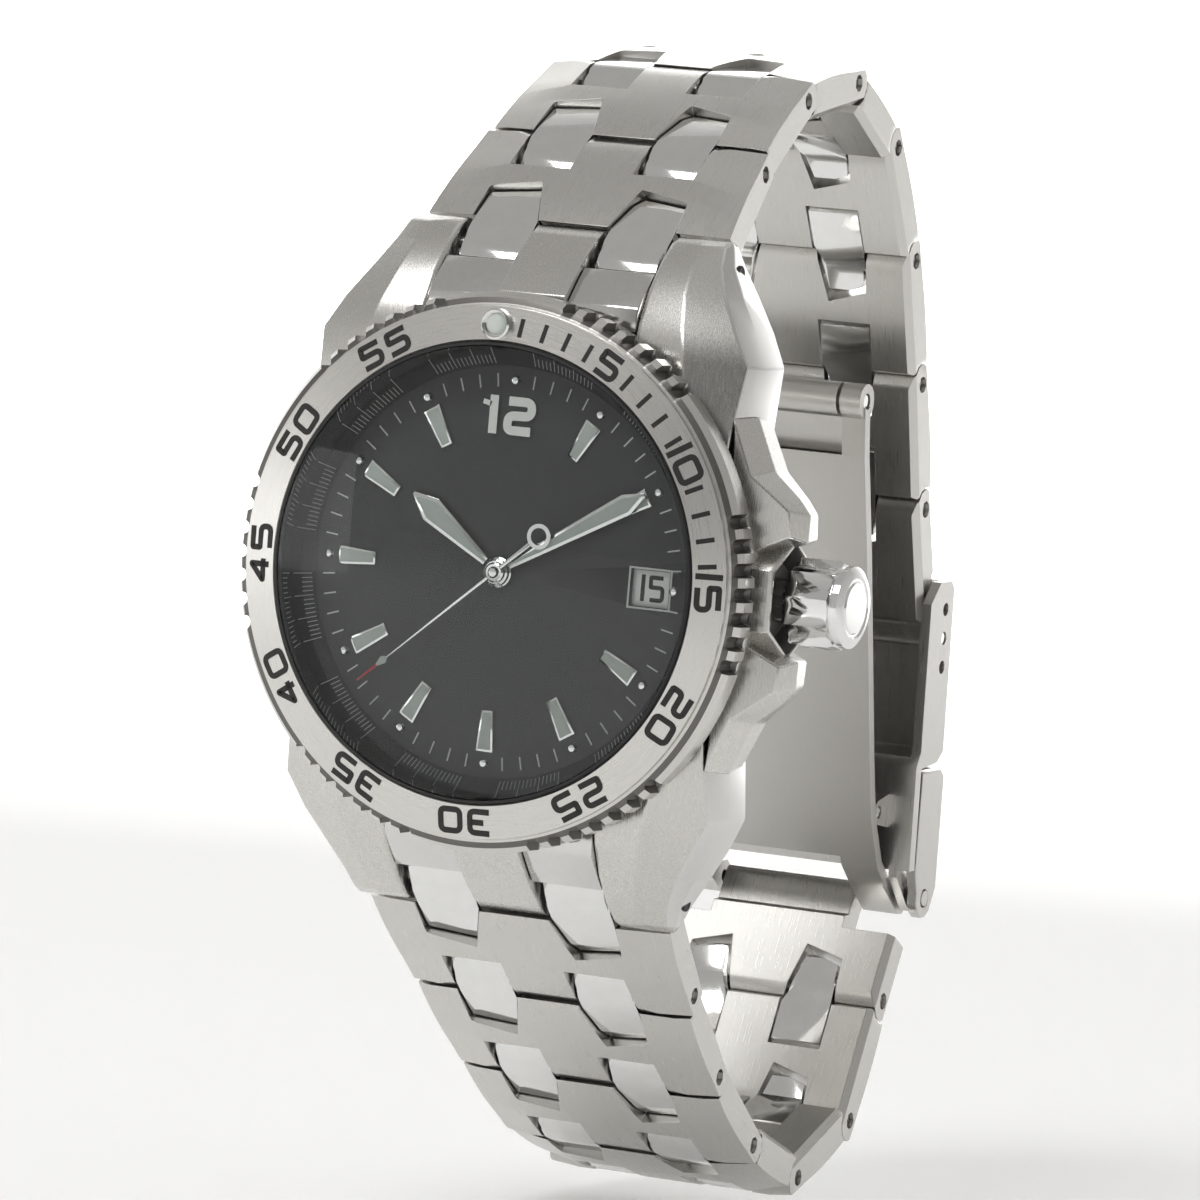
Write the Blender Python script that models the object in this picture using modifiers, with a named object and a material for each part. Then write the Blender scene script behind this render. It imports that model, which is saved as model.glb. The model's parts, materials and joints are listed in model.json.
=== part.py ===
"""Dive watch on a steel bracelet, closed in its loop: +Z to 12 o'clock, +X to the crown, dial facing -Y.
The origin is the middle of the case back's flat face, which lies against the wrist and faces +Y."""

import math

import bmesh
import bpy
from mathutils import Matrix, Vector

MM = 0.001

# Case and bezel, in mm. y runs from the front glass (negative) to the case back (0).
BEZEL_RADIUS = 20.0
BEZEL_BORE = 17.5
BEZEL_FRONT = -12.25
BEZEL_BACK = -8.5
BEZEL_TURN = -1.1
GRIP_NOTCHES = 7
GRIP_STEP = 5.0
GRIP_CENTRES = (30, 90, 150, 210, 270, 330)
CASE_RADIUS = 19.3
CASE_FRONT = -8.0
CASE_REAR = -1.8
NECK_RADIUS = 17.3
NECK_FRONT = -11.6
NECK_BORE = 16.6
CRYSTAL_RADIUS = 16.1
CRYSTAL_FRONT = -12.75
CRYSTAL_REAR = -10.4
DIAL_FRONT = -8.95
DIAL_THICK = 0.4
DIAL_RADIUS = 16.2
DATE_CENTRE = 11.8
DATE_WIDTH = 3.0
DATE_HEIGHT = 2.6
HOUR_ANGLE = 304.9
MINUTE_ANGLE = 59.3
SECOND_ANGLE = 229.0
MOVEMENT_RADIUS = 13.4
MOVEMENT_REAR = -3.3
BACK_RADIUS = 17.6
STEM_Y = -4.6
CROWN_RADIUS = 3.25
CROWN_START = 21.3
CROWN_LENGTH = 4.6

# Bracelet, in mm and degrees. Angles are each link's direction in the YZ plane, counted up from +Y.
LINK_PITCH = 10.0
LAST_UPPER_PITCH = 10.5
LAST_LOWER_PITCH = 8.7
LUG_Y = -1.5
LUG_Z = 23.0
UPPER_ANGLES = (42.6, 33.8, 9.7, -27.0, -57.5, -70.4, -74.0, -71.0)
LOWER_ANGLES = (44.6, 41.3, 35.3, 19.0, -21.1, -63.4, -62.2)
UPPER_HALF_WIDTHS = (12.4, 11.2, 10.5, 10.15, 10.0, 10.0, 10.0, 10.0, 10.0)
LOWER_HALF_WIDTHS = (12.4, 11.3, 10.6, 10.3, 10.1, 10.0, 10.0, 10.0)
LINK_HALF_THICK = 1.65
BARREL = 1.6
LUG_BARREL = 1.85
NOTCH_SHORT = 2.95
NOTCH_LONG = 5.0
NOTCH_LONG_TIGHT = 4.1
PIN_RADIUS = 0.5
BARREL_ON_NEAR_LINK_UP_TO = 3
INNER_EDGE = 0.225
OUTER_EDGE = 0.645

# Clasp, in mm. s runs down the cover from the spring bar, n points out of the loop.
COVER_ANGLE = -87.5
COVER_HALF_WIDTH = 11.0
COVER_TOP = -4.4
COVER_STEP = 9.3
COVER_END = 17.9
COVER_FACE = 1.5
COVER_WALL = 0.65
ADJUST_STEP = 2.25
LATCH_S = 20.3
LATCH_N = -0.2
FOLD_Y = 33.5
FOLD_Z = 13.2
COVER_HINGE_Y = 43.0
COVER_HINGE_Z = -18.5
BLADE_THICK = 0.9

parts = bpy.data.collections.new("dive_watch")
cutters = bpy.data.collections.new("cutters")


def clear_scene():
    for obj in list(bpy.data.objects):
        bpy.data.objects.remove(obj, do_unlink=True)
    bpy.context.scene.collection.children.link(parts)
    bpy.context.scene.collection.children.link(cutters)


def material(name, colour, metallic, roughness):
    made = bpy.data.materials.new(name)
    made.use_nodes = True
    shader = made.node_tree.nodes["Principled BSDF"]
    shader.inputs["Base Color"].default_value = (*colour, 1.0)
    shader.inputs["Metallic"].default_value = metallic
    shader.inputs["Roughness"].default_value = roughness
    return made


def new_object(name, mesh, helper=False):
    obj = bpy.data.objects.new(name, mesh)
    (cutters if helper else parts).objects.link(obj)
    if helper:
        obj.hide_render = True
        obj.display_type = "WIRE"
    return obj


def mesh_from(name, bm):
    bmesh.ops.recalc_face_normals(bm, faces=bm.faces)
    mesh = bpy.data.meshes.new(name)
    bm.to_mesh(mesh)
    bm.free()
    return mesh


def mesh_of(obj, weld=2e-7):
    """The object's evaluated mesh, welded, as a mesh of its own."""
    bpy.context.view_layer.update()
    graph = bpy.context.evaluated_depsgraph_get()
    mesh = bpy.data.meshes.new_from_object(obj.evaluated_get(graph))
    bm = bmesh.new()
    bm.from_mesh(mesh)
    bmesh.ops.remove_doubles(bm, verts=bm.verts, dist=weld)
    bmesh.ops.dissolve_degenerate(bm, edges=bm.edges, dist=weld)
    bmesh.ops.dissolve_limit(bm, angle_limit=math.radians(0.2), verts=bm.verts, edges=bm.edges)
    bm.to_mesh(mesh)
    bm.free()
    return mesh


PLANES = {
    "XY": Matrix(((1, 0, 0), (0, 1, 0), (0, 0, 1))),
    "YZ": Matrix(((0, 0, 1), (1, 0, 0), (0, 1, 0))),
    "XZ": Matrix(((1, 0, 0), (0, 0, 1), (0, 1, 0))),
}


def slab(name, outline, low, high, plane="XY", helper=True):
    """The outline, in mm, extruded from low to high along the plane's third axis."""
    curve = bpy.data.curves.new(name, "CURVE")
    curve.dimensions = "2D"
    curve.fill_mode = "BOTH"
    curve.extrude = (high - low) / 2
    spline = curve.splines.new("POLY")
    spline.points.add(len(outline) - 1)
    for point, (a, b) in zip(spline.points, outline):
        point.co = (a, b, 0, 1)
    spline.use_cyclic_u = True
    guide = new_object(name, curve, True)
    mesh = mesh_of(guide, 1e-4)
    bpy.data.objects.remove(guide, do_unlink=True)
    lift = Matrix.Translation((0, 0, (high + low) / 2))
    mesh.transform(Matrix.Scale(MM, 4) @ PLANES[plane].to_4x4() @ lift)
    bm = bmesh.new()
    bm.from_mesh(mesh)
    mesh = mesh_from(name, bm)
    return new_object(name, mesh, helper)


def turned(name, profile, steps=32, axis="Y", helper=True):
    """A closed profile of (radius, height) in mm, turned about the axis. Height runs along the axis."""
    area = 0
    for k, (r0, h0) in enumerate(profile):
        r1, h1 = profile[(k + 1) % len(profile)]
        area += r0 * h1 - r1 * h0
    if area > 0:
        profile = profile[::-1]
    bm = bmesh.new()
    ring = []
    for radius, height in profile:
        point = {"Y": (radius, height, 0), "X": (height, radius, 0), "Z": (radius, 0, height)}[axis]
        ring.append(bm.verts.new(Vector(point) * MM))
    for k, vertex in enumerate(ring):
        bm.edges.new((vertex, ring[(k + 1) % len(ring)]))
    mesh = bpy.data.meshes.new(name)
    bm.to_mesh(mesh)
    bm.free()
    obj = new_object(name, mesh, helper)
    screw = obj.modifiers.new("turn", "SCREW")
    screw.axis = axis
    screw.steps = steps
    screw.render_steps = steps
    screw.use_merge_vertices = True
    screw.merge_threshold = 1e-6
    return obj


def rod(name, radius, low, high, at=(0, 0), axis="X", steps=16, helper=True):
    """A round bar from low to high along the axis, at the two other coordinates, in mm."""
    middle = (low + high) / 2
    place = {"X": (middle, *at), "Y": (at[0], middle, at[1]), "Z": (*at, middle)}[axis]
    quarter = math.pi / 2
    lie = {"X": Matrix.Rotation(quarter, 4, "Y"), "Y": Matrix.Rotation(quarter, 4, "X"), "Z": Matrix()}[axis]
    turn = Matrix.Rotation(math.pi / steps, 4, "Z")
    matrix = Matrix.Translation(Vector(place) * MM) @ lie @ turn
    r = radius * MM
    bm = bmesh.new()
    depth = (high - low) * MM
    bmesh.ops.create_cone(bm, cap_ends=True, segments=steps, radius1=r, radius2=r, depth=depth, matrix=matrix)
    return new_object(name, mesh_from(name, bm), helper)


def combine(obj, other, operation):
    modifier = obj.modifiers.new(operation.lower(), "BOOLEAN")
    modifier.operation = operation
    modifier.solver = "EXACT"
    modifier.object = other
    return obj


def baked(obj, name, helper=False):
    """The object with its modifiers applied, as a new object. Its cutters go with it."""
    mesh = mesh_of(obj)
    mesh.name = name
    used = [m.object for m in obj.modifiers if m.type == "BOOLEAN"]
    matrix = obj.matrix_world.copy()
    made = new_object(name, mesh, helper)
    made.matrix_world = matrix
    for old in [obj] + used:
        bpy.data.objects.remove(old, do_unlink=True)
    return made


def finish(obj, surface):
    """Gives the piece its surface and shades it smooth wherever its faces meet gently."""
    obj.data.materials.clear()
    obj.data.materials.append(surface)
    obj.data.shade_smooth()
    obj.data.set_sharp_from_angle(angle=math.radians(30))
    return obj


def arc(cy, cz, radius, start, end, count):
    """Points round a centre, angles in degrees from the first axis towards the second."""
    points = []
    for k in range(count):
        turn = math.radians(start + (end - start) * k / (count - 1))
        points.append((cy + radius * math.cos(turn), cz + radius * math.sin(turn)))
    return points


def chain_pins(side, angles, last_pitch):
    """The hinge axes (y, z) from the lugs to the clasp. side is 1 for the upper half, -1 for the lower."""
    pins = [(LUG_Y, side * LUG_Z)]
    for k, angle in enumerate(angles):
        pitch = last_pitch if k == len(angles) - 1 else LINK_PITCH
        turn = math.radians(angle)
        y, z = pins[-1]
        pins.append((y + pitch * math.cos(turn), z + side * pitch * math.sin(turn)))
    return pins


def place_on_strap(obj, pin, angle, side):
    """Local Y runs along the strap and local Z out of the loop, with the origin on the hinge axis."""
    turn = math.radians(angle)
    along = Vector((0, math.cos(turn), side * math.sin(turn)))
    out = Vector((0, -math.sin(turn), side * math.cos(turn)))
    across = along.cross(out)
    basis = Matrix((across, along, out)).transposed()
    obj.rotation_mode = "XYZ"
    obj.rotation_euler = basis.to_euler("XYZ")
    obj.location = Vector((0, pin[0], pin[1])) * MM


def link_profile(pitch, near_barrel, far_barrel, near_lip):
    """Side view of a brushed link: rounded nose where it holds the pin, hollow lip where it wraps one."""
    h = LINK_HALF_THICK
    lip = BARREL + 0.15
    points = []
    if near_barrel:
        points += arc(0, 0, BARREL, 270, 90, 6)
        points[0] = (0, -h)
        points[-1] = (0, h)
    else:
        top = math.degrees(math.asin(min(0.93, (h - 0.06) / near_lip)))
        points += [(1.66, -h)] + arc(0, 0, near_lip, -44, top, 5)
        points += [(near_lip * math.cos(math.radians(top)), h)]
    if far_barrel:
        far = arc(pitch, 0, BARREL, 90, -90, 6)
        far[0] = (pitch, h)
        far[-1] = (pitch, -h)
        points += far
    else:
        points += [(pitch - 0.76, h)] + arc(pitch, 0, lip, 115, 228, 5) + [(pitch - 1.42, -h)]
    return points


def boundary_offset(barrel_on_near):
    """How far the seam lies from the pin, counted away from the case."""
    return 1.2 if barrel_on_near else -1.2


def p_outline(half, barrel_on_near, long_reach, grow):
    """Plan of one polished piece for x > 0: straight near the case, tapered away from it, s from its pin."""
    inner = INNER_EDGE * half + 0.12 - grow
    outer = OUTER_EDGE * half + grow
    seam = boundary_offset(barrel_on_near)
    near = -NOTCH_SHORT if barrel_on_near else -long_reach
    far = long_reach if barrel_on_near else NOTCH_SHORT
    slant = 1.2 * half / 12.4
    return [
        (inner, near - grow),
        (outer, near - grow),
        (outer, seam),
        (outer - 0.2, far - 0.9 + grow),
        (inner + slant, far + grow),
        (inner, seam),
    ]


def mirrored(outline):
    return [(-x, y) for x, y in reversed(outline)]


def long_reach(joint):
    """The fixed half of the polished pieces is shorter where the pins change over to the links' other end."""
    if joint in (BARREL_ON_NEAR_LINK_UP_TO, BARREL_ON_NEAR_LINK_UP_TO + 1):
        return NOTCH_LONG_TIGHT
    return NOTCH_LONG


def cut_notches(body, tag, joint, half, at):
    near = joint <= BARREL_ON_NEAR_LINK_UP_TO
    for label, flip in (("r", 1), ("l", -1)):
        plan = p_outline(half, near, long_reach(joint), 0.13 if flip else 0)
        stretch = []
        for x, s in plan:
            room = 0.2 if (s < 0) == near else 0.02
            stretch.append((x, at + s + math.copysign(room, s)))
        if flip < 0:
            stretch = mirrored(stretch)
        notch = slab(f"notch_{tag}_{label}", stretch, -4, 4)
        combine(body, notch, "DIFFERENCE")


def cross_section(half_near, half_far, pitch):
    """Bevels along the two outer long edges of a link, front and back, as one solid to intersect with."""
    h = LINK_HALF_THICK + 0.01
    bm = bmesh.new()
    rings = []
    for s, half in ((-2.4, half_near), (pitch + 2.4, half_far)):
        shape = [
            (-half, -h + 0.5), (-half + 0.5, -h), (half - 0.5, -h), (half, -h + 0.5),
            (half, h - 0.8), (half * 0.62, h), (-half * 0.62, h), (-half, h - 0.8),
        ]
        rings.append([bm.verts.new(Vector((x, s, n)) * MM) for x, n in shape])
    bm.faces.new(rings[0])
    bm.faces.new(list(reversed(rings[1])))
    for k in range(8):
        nxt = (k + 1) % 8
        bm.faces.new((rings[0][k], rings[0][nxt], rings[1][nxt], rings[1][k]))
    return new_object("cross_section", mesh_from("cross_section", bm), True)


def brushed_link(name, index, count, angles, halves, side, pins, last_pitch):
    """One full-width link. index counts from 1 at the case; joint index-1 is its near hinge."""
    last = index == count
    pitch = last_pitch if last else LINK_PITCH
    near_joint = index - 1
    far_joint = index
    near_barrel = near_joint > BARREL_ON_NEAR_LINK_UP_TO
    far_barrel = far_joint <= BARREL_ON_NEAR_LINK_UP_TO
    half_near = halves[near_joint]
    half_far = halves[far_joint]
    near_lip = (LUG_BARREL if index == 1 else BARREL) + 0.15
    if last:
        profile = last_link_profile(pitch, side)
    else:
        profile = link_profile(pitch, near_barrel, far_barrel, near_lip)
    body = slab("body", profile, -14, 14, "YZ")
    combine(body, cross_section(half_near, half_far, pitch), "INTERSECT")
    cut_notches(body, "near", near_joint, half_near, 0)
    if not last:
        cut_notches(body, "far", far_joint, half_far, pitch)
    bore = PIN_RADIUS + 0.15
    if near_barrel:
        combine(body, rod("bore", bore, -15, 15, (0, 0), "X", 8), "DIFFERENCE")
    if far_barrel:
        combine(body, rod("bore", bore, -15, 15, (pitch, 0), "X", 8), "DIFFERENCE")
    if last:
        trim_last_link(body, pitch, side)
    made = baked(body, name)
    place_on_strap(made, pins[index - 1], angles[index - 1], side)
    return made


def last_link_profile(pitch, side):
    """The links next to the clasp end in a thin tongue: a tube for the spring bar, or a plain knuckle."""
    h = LINK_HALF_THICK
    points = arc(0, 0, BARREL, 270, 90, 6)
    points[0] = (0, -h)
    points[-1] = (0, h)
    if side > 0:
        points += [(5.0, h), (5.6, 0.55), (pitch - 0.6, 0.55)]
        points += arc(pitch, 0, 0.8, 135, -90, 9)
        points += [(pitch - 1.4, -1.2), (pitch - 2.0, -h)]
    else:
        points += [(5.7, h), (6.1, 1.0)]
        points += arc(pitch, 0, 1.0, 90, -90, 8)
        points += [(6.4, -1.0), (6.0, -h)]
    return points


def trim_last_link(body, pitch, side):
    if side > 0:
        bore = rod("tube_bore", 0.45 + 0.08, -15, 15, (pitch, 0), "X", 12)
        combine(body, bore, "DIFFERENCE")
        return
    for label, flip in (("r", 1), ("l", -1)):
        outline = [(5.6 * flip, 5.0), (12 * flip, 5.0), (12 * flip, 12), (5.6 * flip, 12)]
        if flip < 0:
            outline.reverse()
        combine(body, slab(f"shoulder_{label}", outline, -4, 4), "DIFFERENCE")


def fixed_profile(reach):
    """Side view of a polished piece's fixed half, along its own direction: round about the pin."""
    h = LINK_HALF_THICK - 0.1
    crown = 0.4
    points = [(reach - 1.2, h), (reach, h - crown), (reach, 0.3 - h), (reach - 0.3, -h)]
    return points + arc(0, 0, h, 270, 90, 6)


def loose_profile():
    """Side view of the half that turns in its neighbour's notch: its end is rounded about the pin too."""
    h = LINK_HALF_THICK - 0.17
    return [(1.4, h - 0.05), (2.4, h - 0.4), (2.83, 0.2), (2.83, -0.7), (2.3, -h)] + arc(0, 0, h, 270, 90, 6)


def facing(profile, sign):
    return [(sign * s, n) for s, n in profile]


def connector(name, joint, angles, halves, side, pins):
    """The two polished pieces of one hinge with the pin that runs through them, as one solid."""
    near = joint <= BARREL_ON_NEAR_LINK_UP_TO
    half = halves[joint]
    here = angles[joint]
    before = angles[joint - 1] if joint else here
    reach = long_reach(joint) - 0.02
    sign = 1 if near else -1
    base = rod("pin", PIN_RADIUS, 0.35 - half, half - 0.35, (0, 0), "X", 8)
    for flip in (1, -1):
        plan = p_outline(half, near, reach, 0)
        fixed_plan = plan
        if not near:
            inner = plan[0][0]
            fixed_plan = plan[:2] + [(plan[1][0], -1.4), (plan[1][0] - 0.15, 2), (inner + 0.75, 2)]
            fixed_plan += [(inner + 0.75, 0), (inner, -1.6)]
        for profile, outline, turn in (
            (facing(fixed_profile(reach), sign), fixed_plan, 0),
            (facing(loose_profile(), -sign), p_outline(half, near, reach, -0.12), sign * (before - here)),
        ):
            if flip < 0:
                outline = mirrored(outline)
            piece = slab("piece", profile, -14, 14, "YZ")
            combine(piece, slab("plan", outline, -4, 4), "INTERSECT")
            piece = baked(piece, "polished", True)
            piece.rotation_euler = (math.radians(turn), 0, 0)
            combine(base, piece, "UNION")
    made = baked(base, name)
    place_on_strap(made, pins[joint], here if near else before, side)
    return made


def strap(prefix, side, angles, halves, last_pitch, satin, polished):
    pins = chain_pins(side, angles, last_pitch)
    count = len(angles)
    for index in range(1, count + 1):
        made = brushed_link(f"{prefix}_link_{index}", index, count, angles, halves, side, pins, last_pitch)
        finish(made, satin)
    for joint in range(count):
        finish(connector(f"{prefix}_connector_{joint + 1}", joint, angles, halves, side, pins), polished)
    return pins


def horn(tag, side_x, side_z):
    """One lug: a plan outline and a side outline intersected, reaching down round the lug pin."""
    plan = [(8.35, 8.0), (8.35, 25.6), (12.7, 25.6), (13.3, 23.2), (14.6, 21.0), (17.3, 16.4)]
    plan += [(17.3, 11.8), (14.0, 8.0)]
    plan = [(x * side_x, z * side_z) for x, z in plan]
    profile = [(CASE_FRONT, 8.0), (CASE_FRONT, 16.8), (-7.4, 19.2), (-5.6, 21.9), (-3.4, 24.3)]
    profile += arc(LUG_Y, LUG_Z, LUG_BARREL, 135, 0, 6)
    profile += [(0.5, 21.0), (0.3, 17.0), (-1.2, 12.0), (CASE_REAR, 8.0)]
    body = slab(f"horn_{tag}", [(y, z * side_z) for y, z in profile], -17, 17, "YZ")
    combine(body, slab(f"horn_plan_{tag}", plan, -14, 4, "XZ"), "INTERSECT")
    return baked(body, f"horn_{tag}", True)


def hex_prism(name, radius, low, high, at):
    return rod(name, radius, low, high, at, "X", 6)


def make_mid_case(steel):
    profile = [(0.0, CASE_FRONT), (CASE_RADIUS - 0.5, CASE_FRONT), (CASE_RADIUS, CASE_FRONT + 0.5)]
    profile += [(CASE_RADIUS, -3.6), (18.4, CASE_REAR), (0.0, CASE_REAR)]
    body = turned("case_disc", profile)
    neck = turned("neck", [(0, NECK_FRONT), (NECK_RADIUS, NECK_FRONT), (NECK_RADIUS, -7.4), (0, -7.4)])
    combine(body, neck, "UNION")
    for side_x in (1, -1):
        for side_z in (1, -1):
            combine(body, horn(f"{side_x}_{side_z}", side_x, side_z), "UNION")
    guard = [(13, 12.4), (17.2, 11.8), (19.6, 8.4), (21.9, 6.2), (21.9, 4.3)]
    guard += [(x, -z) for x, z in reversed(guard)]
    guards = slab("guards", guard, CASE_FRONT + 0.4, CASE_REAR - 0.2, "XZ")
    combine(body, guards, "UNION")
    body = baked(body, "case_outer", True)
    combine(body, hex_prism("crown_recess", 4.3, 19.9, 25, (STEM_Y, 0)), "DIFFERENCE")
    bore = [(0, -13), (NECK_BORE, -13), (NECK_BORE, -8.2), (14.9, -8.2), (14.9, -2.8), (16.4, -2.8)]
    bore += [(16.4, CASE_REAR), (BACK_RADIUS + 0.15, CASE_REAR), (BACK_RADIUS + 0.15, 2), (0, 2)]
    combine(body, turned("inside", bore), "DIFFERENCE")
    combine(body, rod("tube_hole", 1.7, 14, 26, (STEM_Y, 0), "X", 20), "DIFFERENCE")
    for side_z in (1, -1):
        hole = rod(f"lug_hole_{side_z}", 0.62, -16, 16, (LUG_Y, side_z * LUG_Z), "X", 10)
        combine(body, hole, "DIFFERENCE")
    return finish(baked(body, "mid_case"), steel)


def make_end_link(name, side_z, satin):
    """The piece between two lugs: a raised middle block that runs to the lug pin, and two lower steps."""
    block = [(-7.7, 17.8), (-7.7, 20.0), (-5.4, 22.4), (-3.0, 24.3)]
    block += arc(LUG_Y, LUG_Z, LUG_BARREL, 135, -45, 8)
    block += [(-1.0, 19.9), (-2.2, 17.8)]
    steps = [(-7.3, 17.9), (-7.3, 19.6), (-4.6, 19.9), (-1.4, 19.6), (-2.2, 17.9)]
    body = slab("middle", [(y, z * side_z) for y, z in block], -2.66, 2.66, "YZ")
    sides = slab("steps", [(y, z * side_z) for y, z in steps], -8.2, 8.2, "YZ")
    combine(body, sides, "UNION")
    clear = turned("under_case", [(0, -14), (CASE_RADIUS + 0.15, -14), (CASE_RADIUS + 0.15, 2), (0, 2)])
    combine(body, clear, "DIFFERENCE")
    body = baked(body, name + "_raw", True)
    hole = rod("end_hole", 0.65, -16, 16, (LUG_Y, side_z * LUG_Z), "X", 10)
    combine(body, hole, "DIFFERENCE")
    return finish(baked(body, name), satin)


def make_bezel(steel):
    profile = [(BEZEL_BORE, BEZEL_BACK), (BEZEL_BORE, -11.7), (16.75, -11.75), (16.75, BEZEL_FRONT)]
    profile += [(18.9, -11.75), (18.95, -11.45), (19.6, -11.2), (BEZEL_RADIUS, -10.8), (BEZEL_RADIUS, -9.1)]
    profile += [(19.4, BEZEL_BACK)]
    body = turned("bezel_ring", profile, 60)
    bm = bmesh.new()
    for centre in GRIP_CENTRES:
        for k in range(GRIP_NOTCHES):
            turn = centre + (k - (GRIP_NOTCHES - 1) / 2) * GRIP_STEP
            out = Matrix.Translation((0, -11.2 * MM, 20.45 * MM))
            stand = Matrix.Rotation(math.radians(turn), 4, "Y") @ out
            lean = Matrix.Rotation(math.radians(105), 4, "X")
            point_in = Matrix.Rotation(math.radians(90), 4, "Z")
            place = stand @ lean @ point_in
            r = 1.15 * MM
            depth = 3.2 * MM
            cone = {"cap_ends": True, "segments": 3, "radius1": r, "radius2": r, "depth": depth}
            bmesh.ops.create_cone(bm, matrix=place, **cone)
    combine(body, new_object("grip_notches", mesh_from("grip_notches", bm), True), "DIFFERENCE")
    pearl_seat = rod("pearl_seat", 1.0, -13, -11.6, (0, 17.72), "Y", 16)
    combine(body, pearl_seat, "DIFFERENCE")
    made = finish(baked(body, "bezel"), steel)
    made.rotation_euler = (0, math.radians(BEZEL_TURN), 0)
    return made


def make_pearl(lume):
    dome = [(0, -12.65), (0.45, -12.6), (0.8, -12.4), (0.9, -12.1), (0.9, -11.75), (0, -11.75)]
    body = turned("bezel_pearl", dome, 16, "Y", helper=False)
    turn = math.radians(BEZEL_TURN)
    body.location = Vector((math.sin(turn), 0, math.cos(turn))) * 17.72 * MM
    return finish(body, lume)


def hand(name, outline, hub, bore, front, back, angle, surface, ring_at=None):
    """A flat hand pointing at 12 in its own frame, turned by its angle about the watch's centre."""
    body = slab("hand_blade", outline, front, back, "XZ")
    if ring_at:
        combine(body, rod("counter_ring", 0.95, front, back, (0, ring_at), "Y", 16), "UNION")
        combine(body, rod("counter_hole", 0.55, front - 1, back + 1, (0, ring_at), "Y", 16), "DIFFERENCE")
    combine(body, rod("hub", hub, front, back, (0, 0), "Y", 20), "UNION")
    combine(body, rod("hub_bore", bore, front - 1, back + 1, (0, 0), "Y", 16), "DIFFERENCE")
    made = finish(baked(body, name), surface)
    made.rotation_euler = (0, math.radians(angle), 0)
    return made


def make_hands(steel):
    hour = [(-0.35, 0.6), (0.35, 0.6), (0.95, 6.3), (0.0, 8.35), (-0.95, 6.3)]
    minute = [(-0.35, 0.6), (0.35, 0.6), (0.85, 11.2), (0.0, 12.8), (-0.85, 11.2)]
    second = [(-0.16, -2.4), (-0.16, -3.6), (0.16, -3.6), (0.16, -2.4), (0.12, 13.4), (-0.12, 13.4)]
    hand("hour_hand", hour, 1.05, 0.72, -9.45, -9.25, HOUR_ANGLE, steel)
    hand("minute_hand", minute, 0.9, 0.5, -9.75, -9.58, MINUTE_ANGLE, steel)
    hand("seconds_hand", second, 0.62, 0.3, -10.05, -9.9, SECOND_ANGLE, steel, ring_at=-4.4)


def make_dial(dark):
    rear = DIAL_FRONT + DIAL_THICK
    body = turned("dial_disc", [(0, DIAL_FRONT), (DIAL_RADIUS, DIAL_FRONT), (DIAL_RADIUS, rear), (0, rear)])
    x0 = DATE_CENTRE - DATE_WIDTH / 2
    x1 = DATE_CENTRE + DATE_WIDTH / 2
    z = DATE_HEIGHT / 2
    window = slab("date_window", [(x0, -z), (x1, -z), (x1, z), (x0, z)], DIAL_FRONT - 1, rear + 1, "XZ")
    combine(body, window, "DIFFERENCE")
    combine(body, rod("dial_hole", 0.95, DIAL_FRONT - 1, rear + 1, (0, 0), "Y", 20), "DIFFERENCE")
    for hour in range(12):
        if hour in (0, 3):
            continue
        turn = math.radians(30 * hour)
        out = Vector((math.sin(turn), math.cos(turn)))
        side = Vector((math.cos(turn), -math.sin(turn)))
        near = 10.0
        far = 12.9
        corners = [out * near - side * 0.42, out * near + side * 0.42]
        corners += [out * far + side * 0.75, out * far - side * 0.75]
        baton = slab(f"baton_{hour}", [tuple(c) for c in corners], DIAL_FRONT - 0.25, DIAL_FRONT + 0.1, "XZ")
        combine(body, baton, "UNION")
    return finish(baked(body, "dial"), dark)


def make_inside(metal, plastic, white, cell, rubber):
    plate = [(0, -8.0), (MOVEMENT_RADIUS, -8.0), (MOVEMENT_RADIUS, MOVEMENT_REAR), (0, MOVEMENT_REAR)]
    movement = turned("movement_plate", plate, 48)
    combine(movement, rod("hour_pipe", 0.62, -9.5, -7.5, (0, 0), "Y", 16), "UNION")
    combine(movement, rod("minute_pipe", 0.42, -9.82, -7.0, (0, 0), "Y", 16), "UNION")
    combine(movement, rod("seconds_pivot", 0.24, -10.1, -7.0, (0, 0), "Y", 16), "UNION")
    combine(movement, rod("battery_well", 4.95, -5.7, -3.0, (-6.0, -4.0), "Y", 32), "DIFFERENCE")
    combine(movement, rod("stem_way", 0.75, 6.5, 15, (STEM_Y, 0), "X", 16), "DIFFERENCE")
    finish(baked(movement, "movement"), metal)
    holder = turned("holder_ring", [(13.5, -7.9), (14.8, -7.9), (14.8, -3.4), (13.5, -3.4)], 48)
    combine(holder, rod("holder_slot", 0.9, 12, 16, (STEM_Y, 0), "X", 16), "DIFFERENCE")
    finish(baked(holder, "movement_holder"), plastic)
    cell_profile = [(0, -5.55), (4.4, -5.55), (4.75, -5.2), (4.75, -3.5), (0, -3.5)]
    battery = turned("battery", cell_profile, 32, helper=False)
    battery.location = (-6.0 * MM, 0, -4.0 * MM)
    finish(battery, cell)
    disc = turned("date_disc", [(9.4, -8.42), (14.3, -8.42), (14.3, -8.14), (9.4, -8.14)], helper=False)
    finish(disc, white)
    ring = [(14.75, -9.1), (16.1, -10.25), (16.45, -10.25), (16.45, -9.1)]
    finish(turned("rehaut_ring", ring, helper=False), plastic)
    crystal = [(0, CRYSTAL_FRONT), (15.6, CRYSTAL_FRONT), (CRYSTAL_RADIUS, -12.3)]
    crystal += [(CRYSTAL_RADIUS, CRYSTAL_REAR), (0, CRYSTAL_REAR)]
    seal = [(16.17, -12.3), (16.52, -12.3), (16.52, -10.5), (16.17, -10.5)]
    finish(turned("crystal_gasket", seal, helper=False), rubber)
    return turned("crystal", crystal, helper=False)


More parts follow.
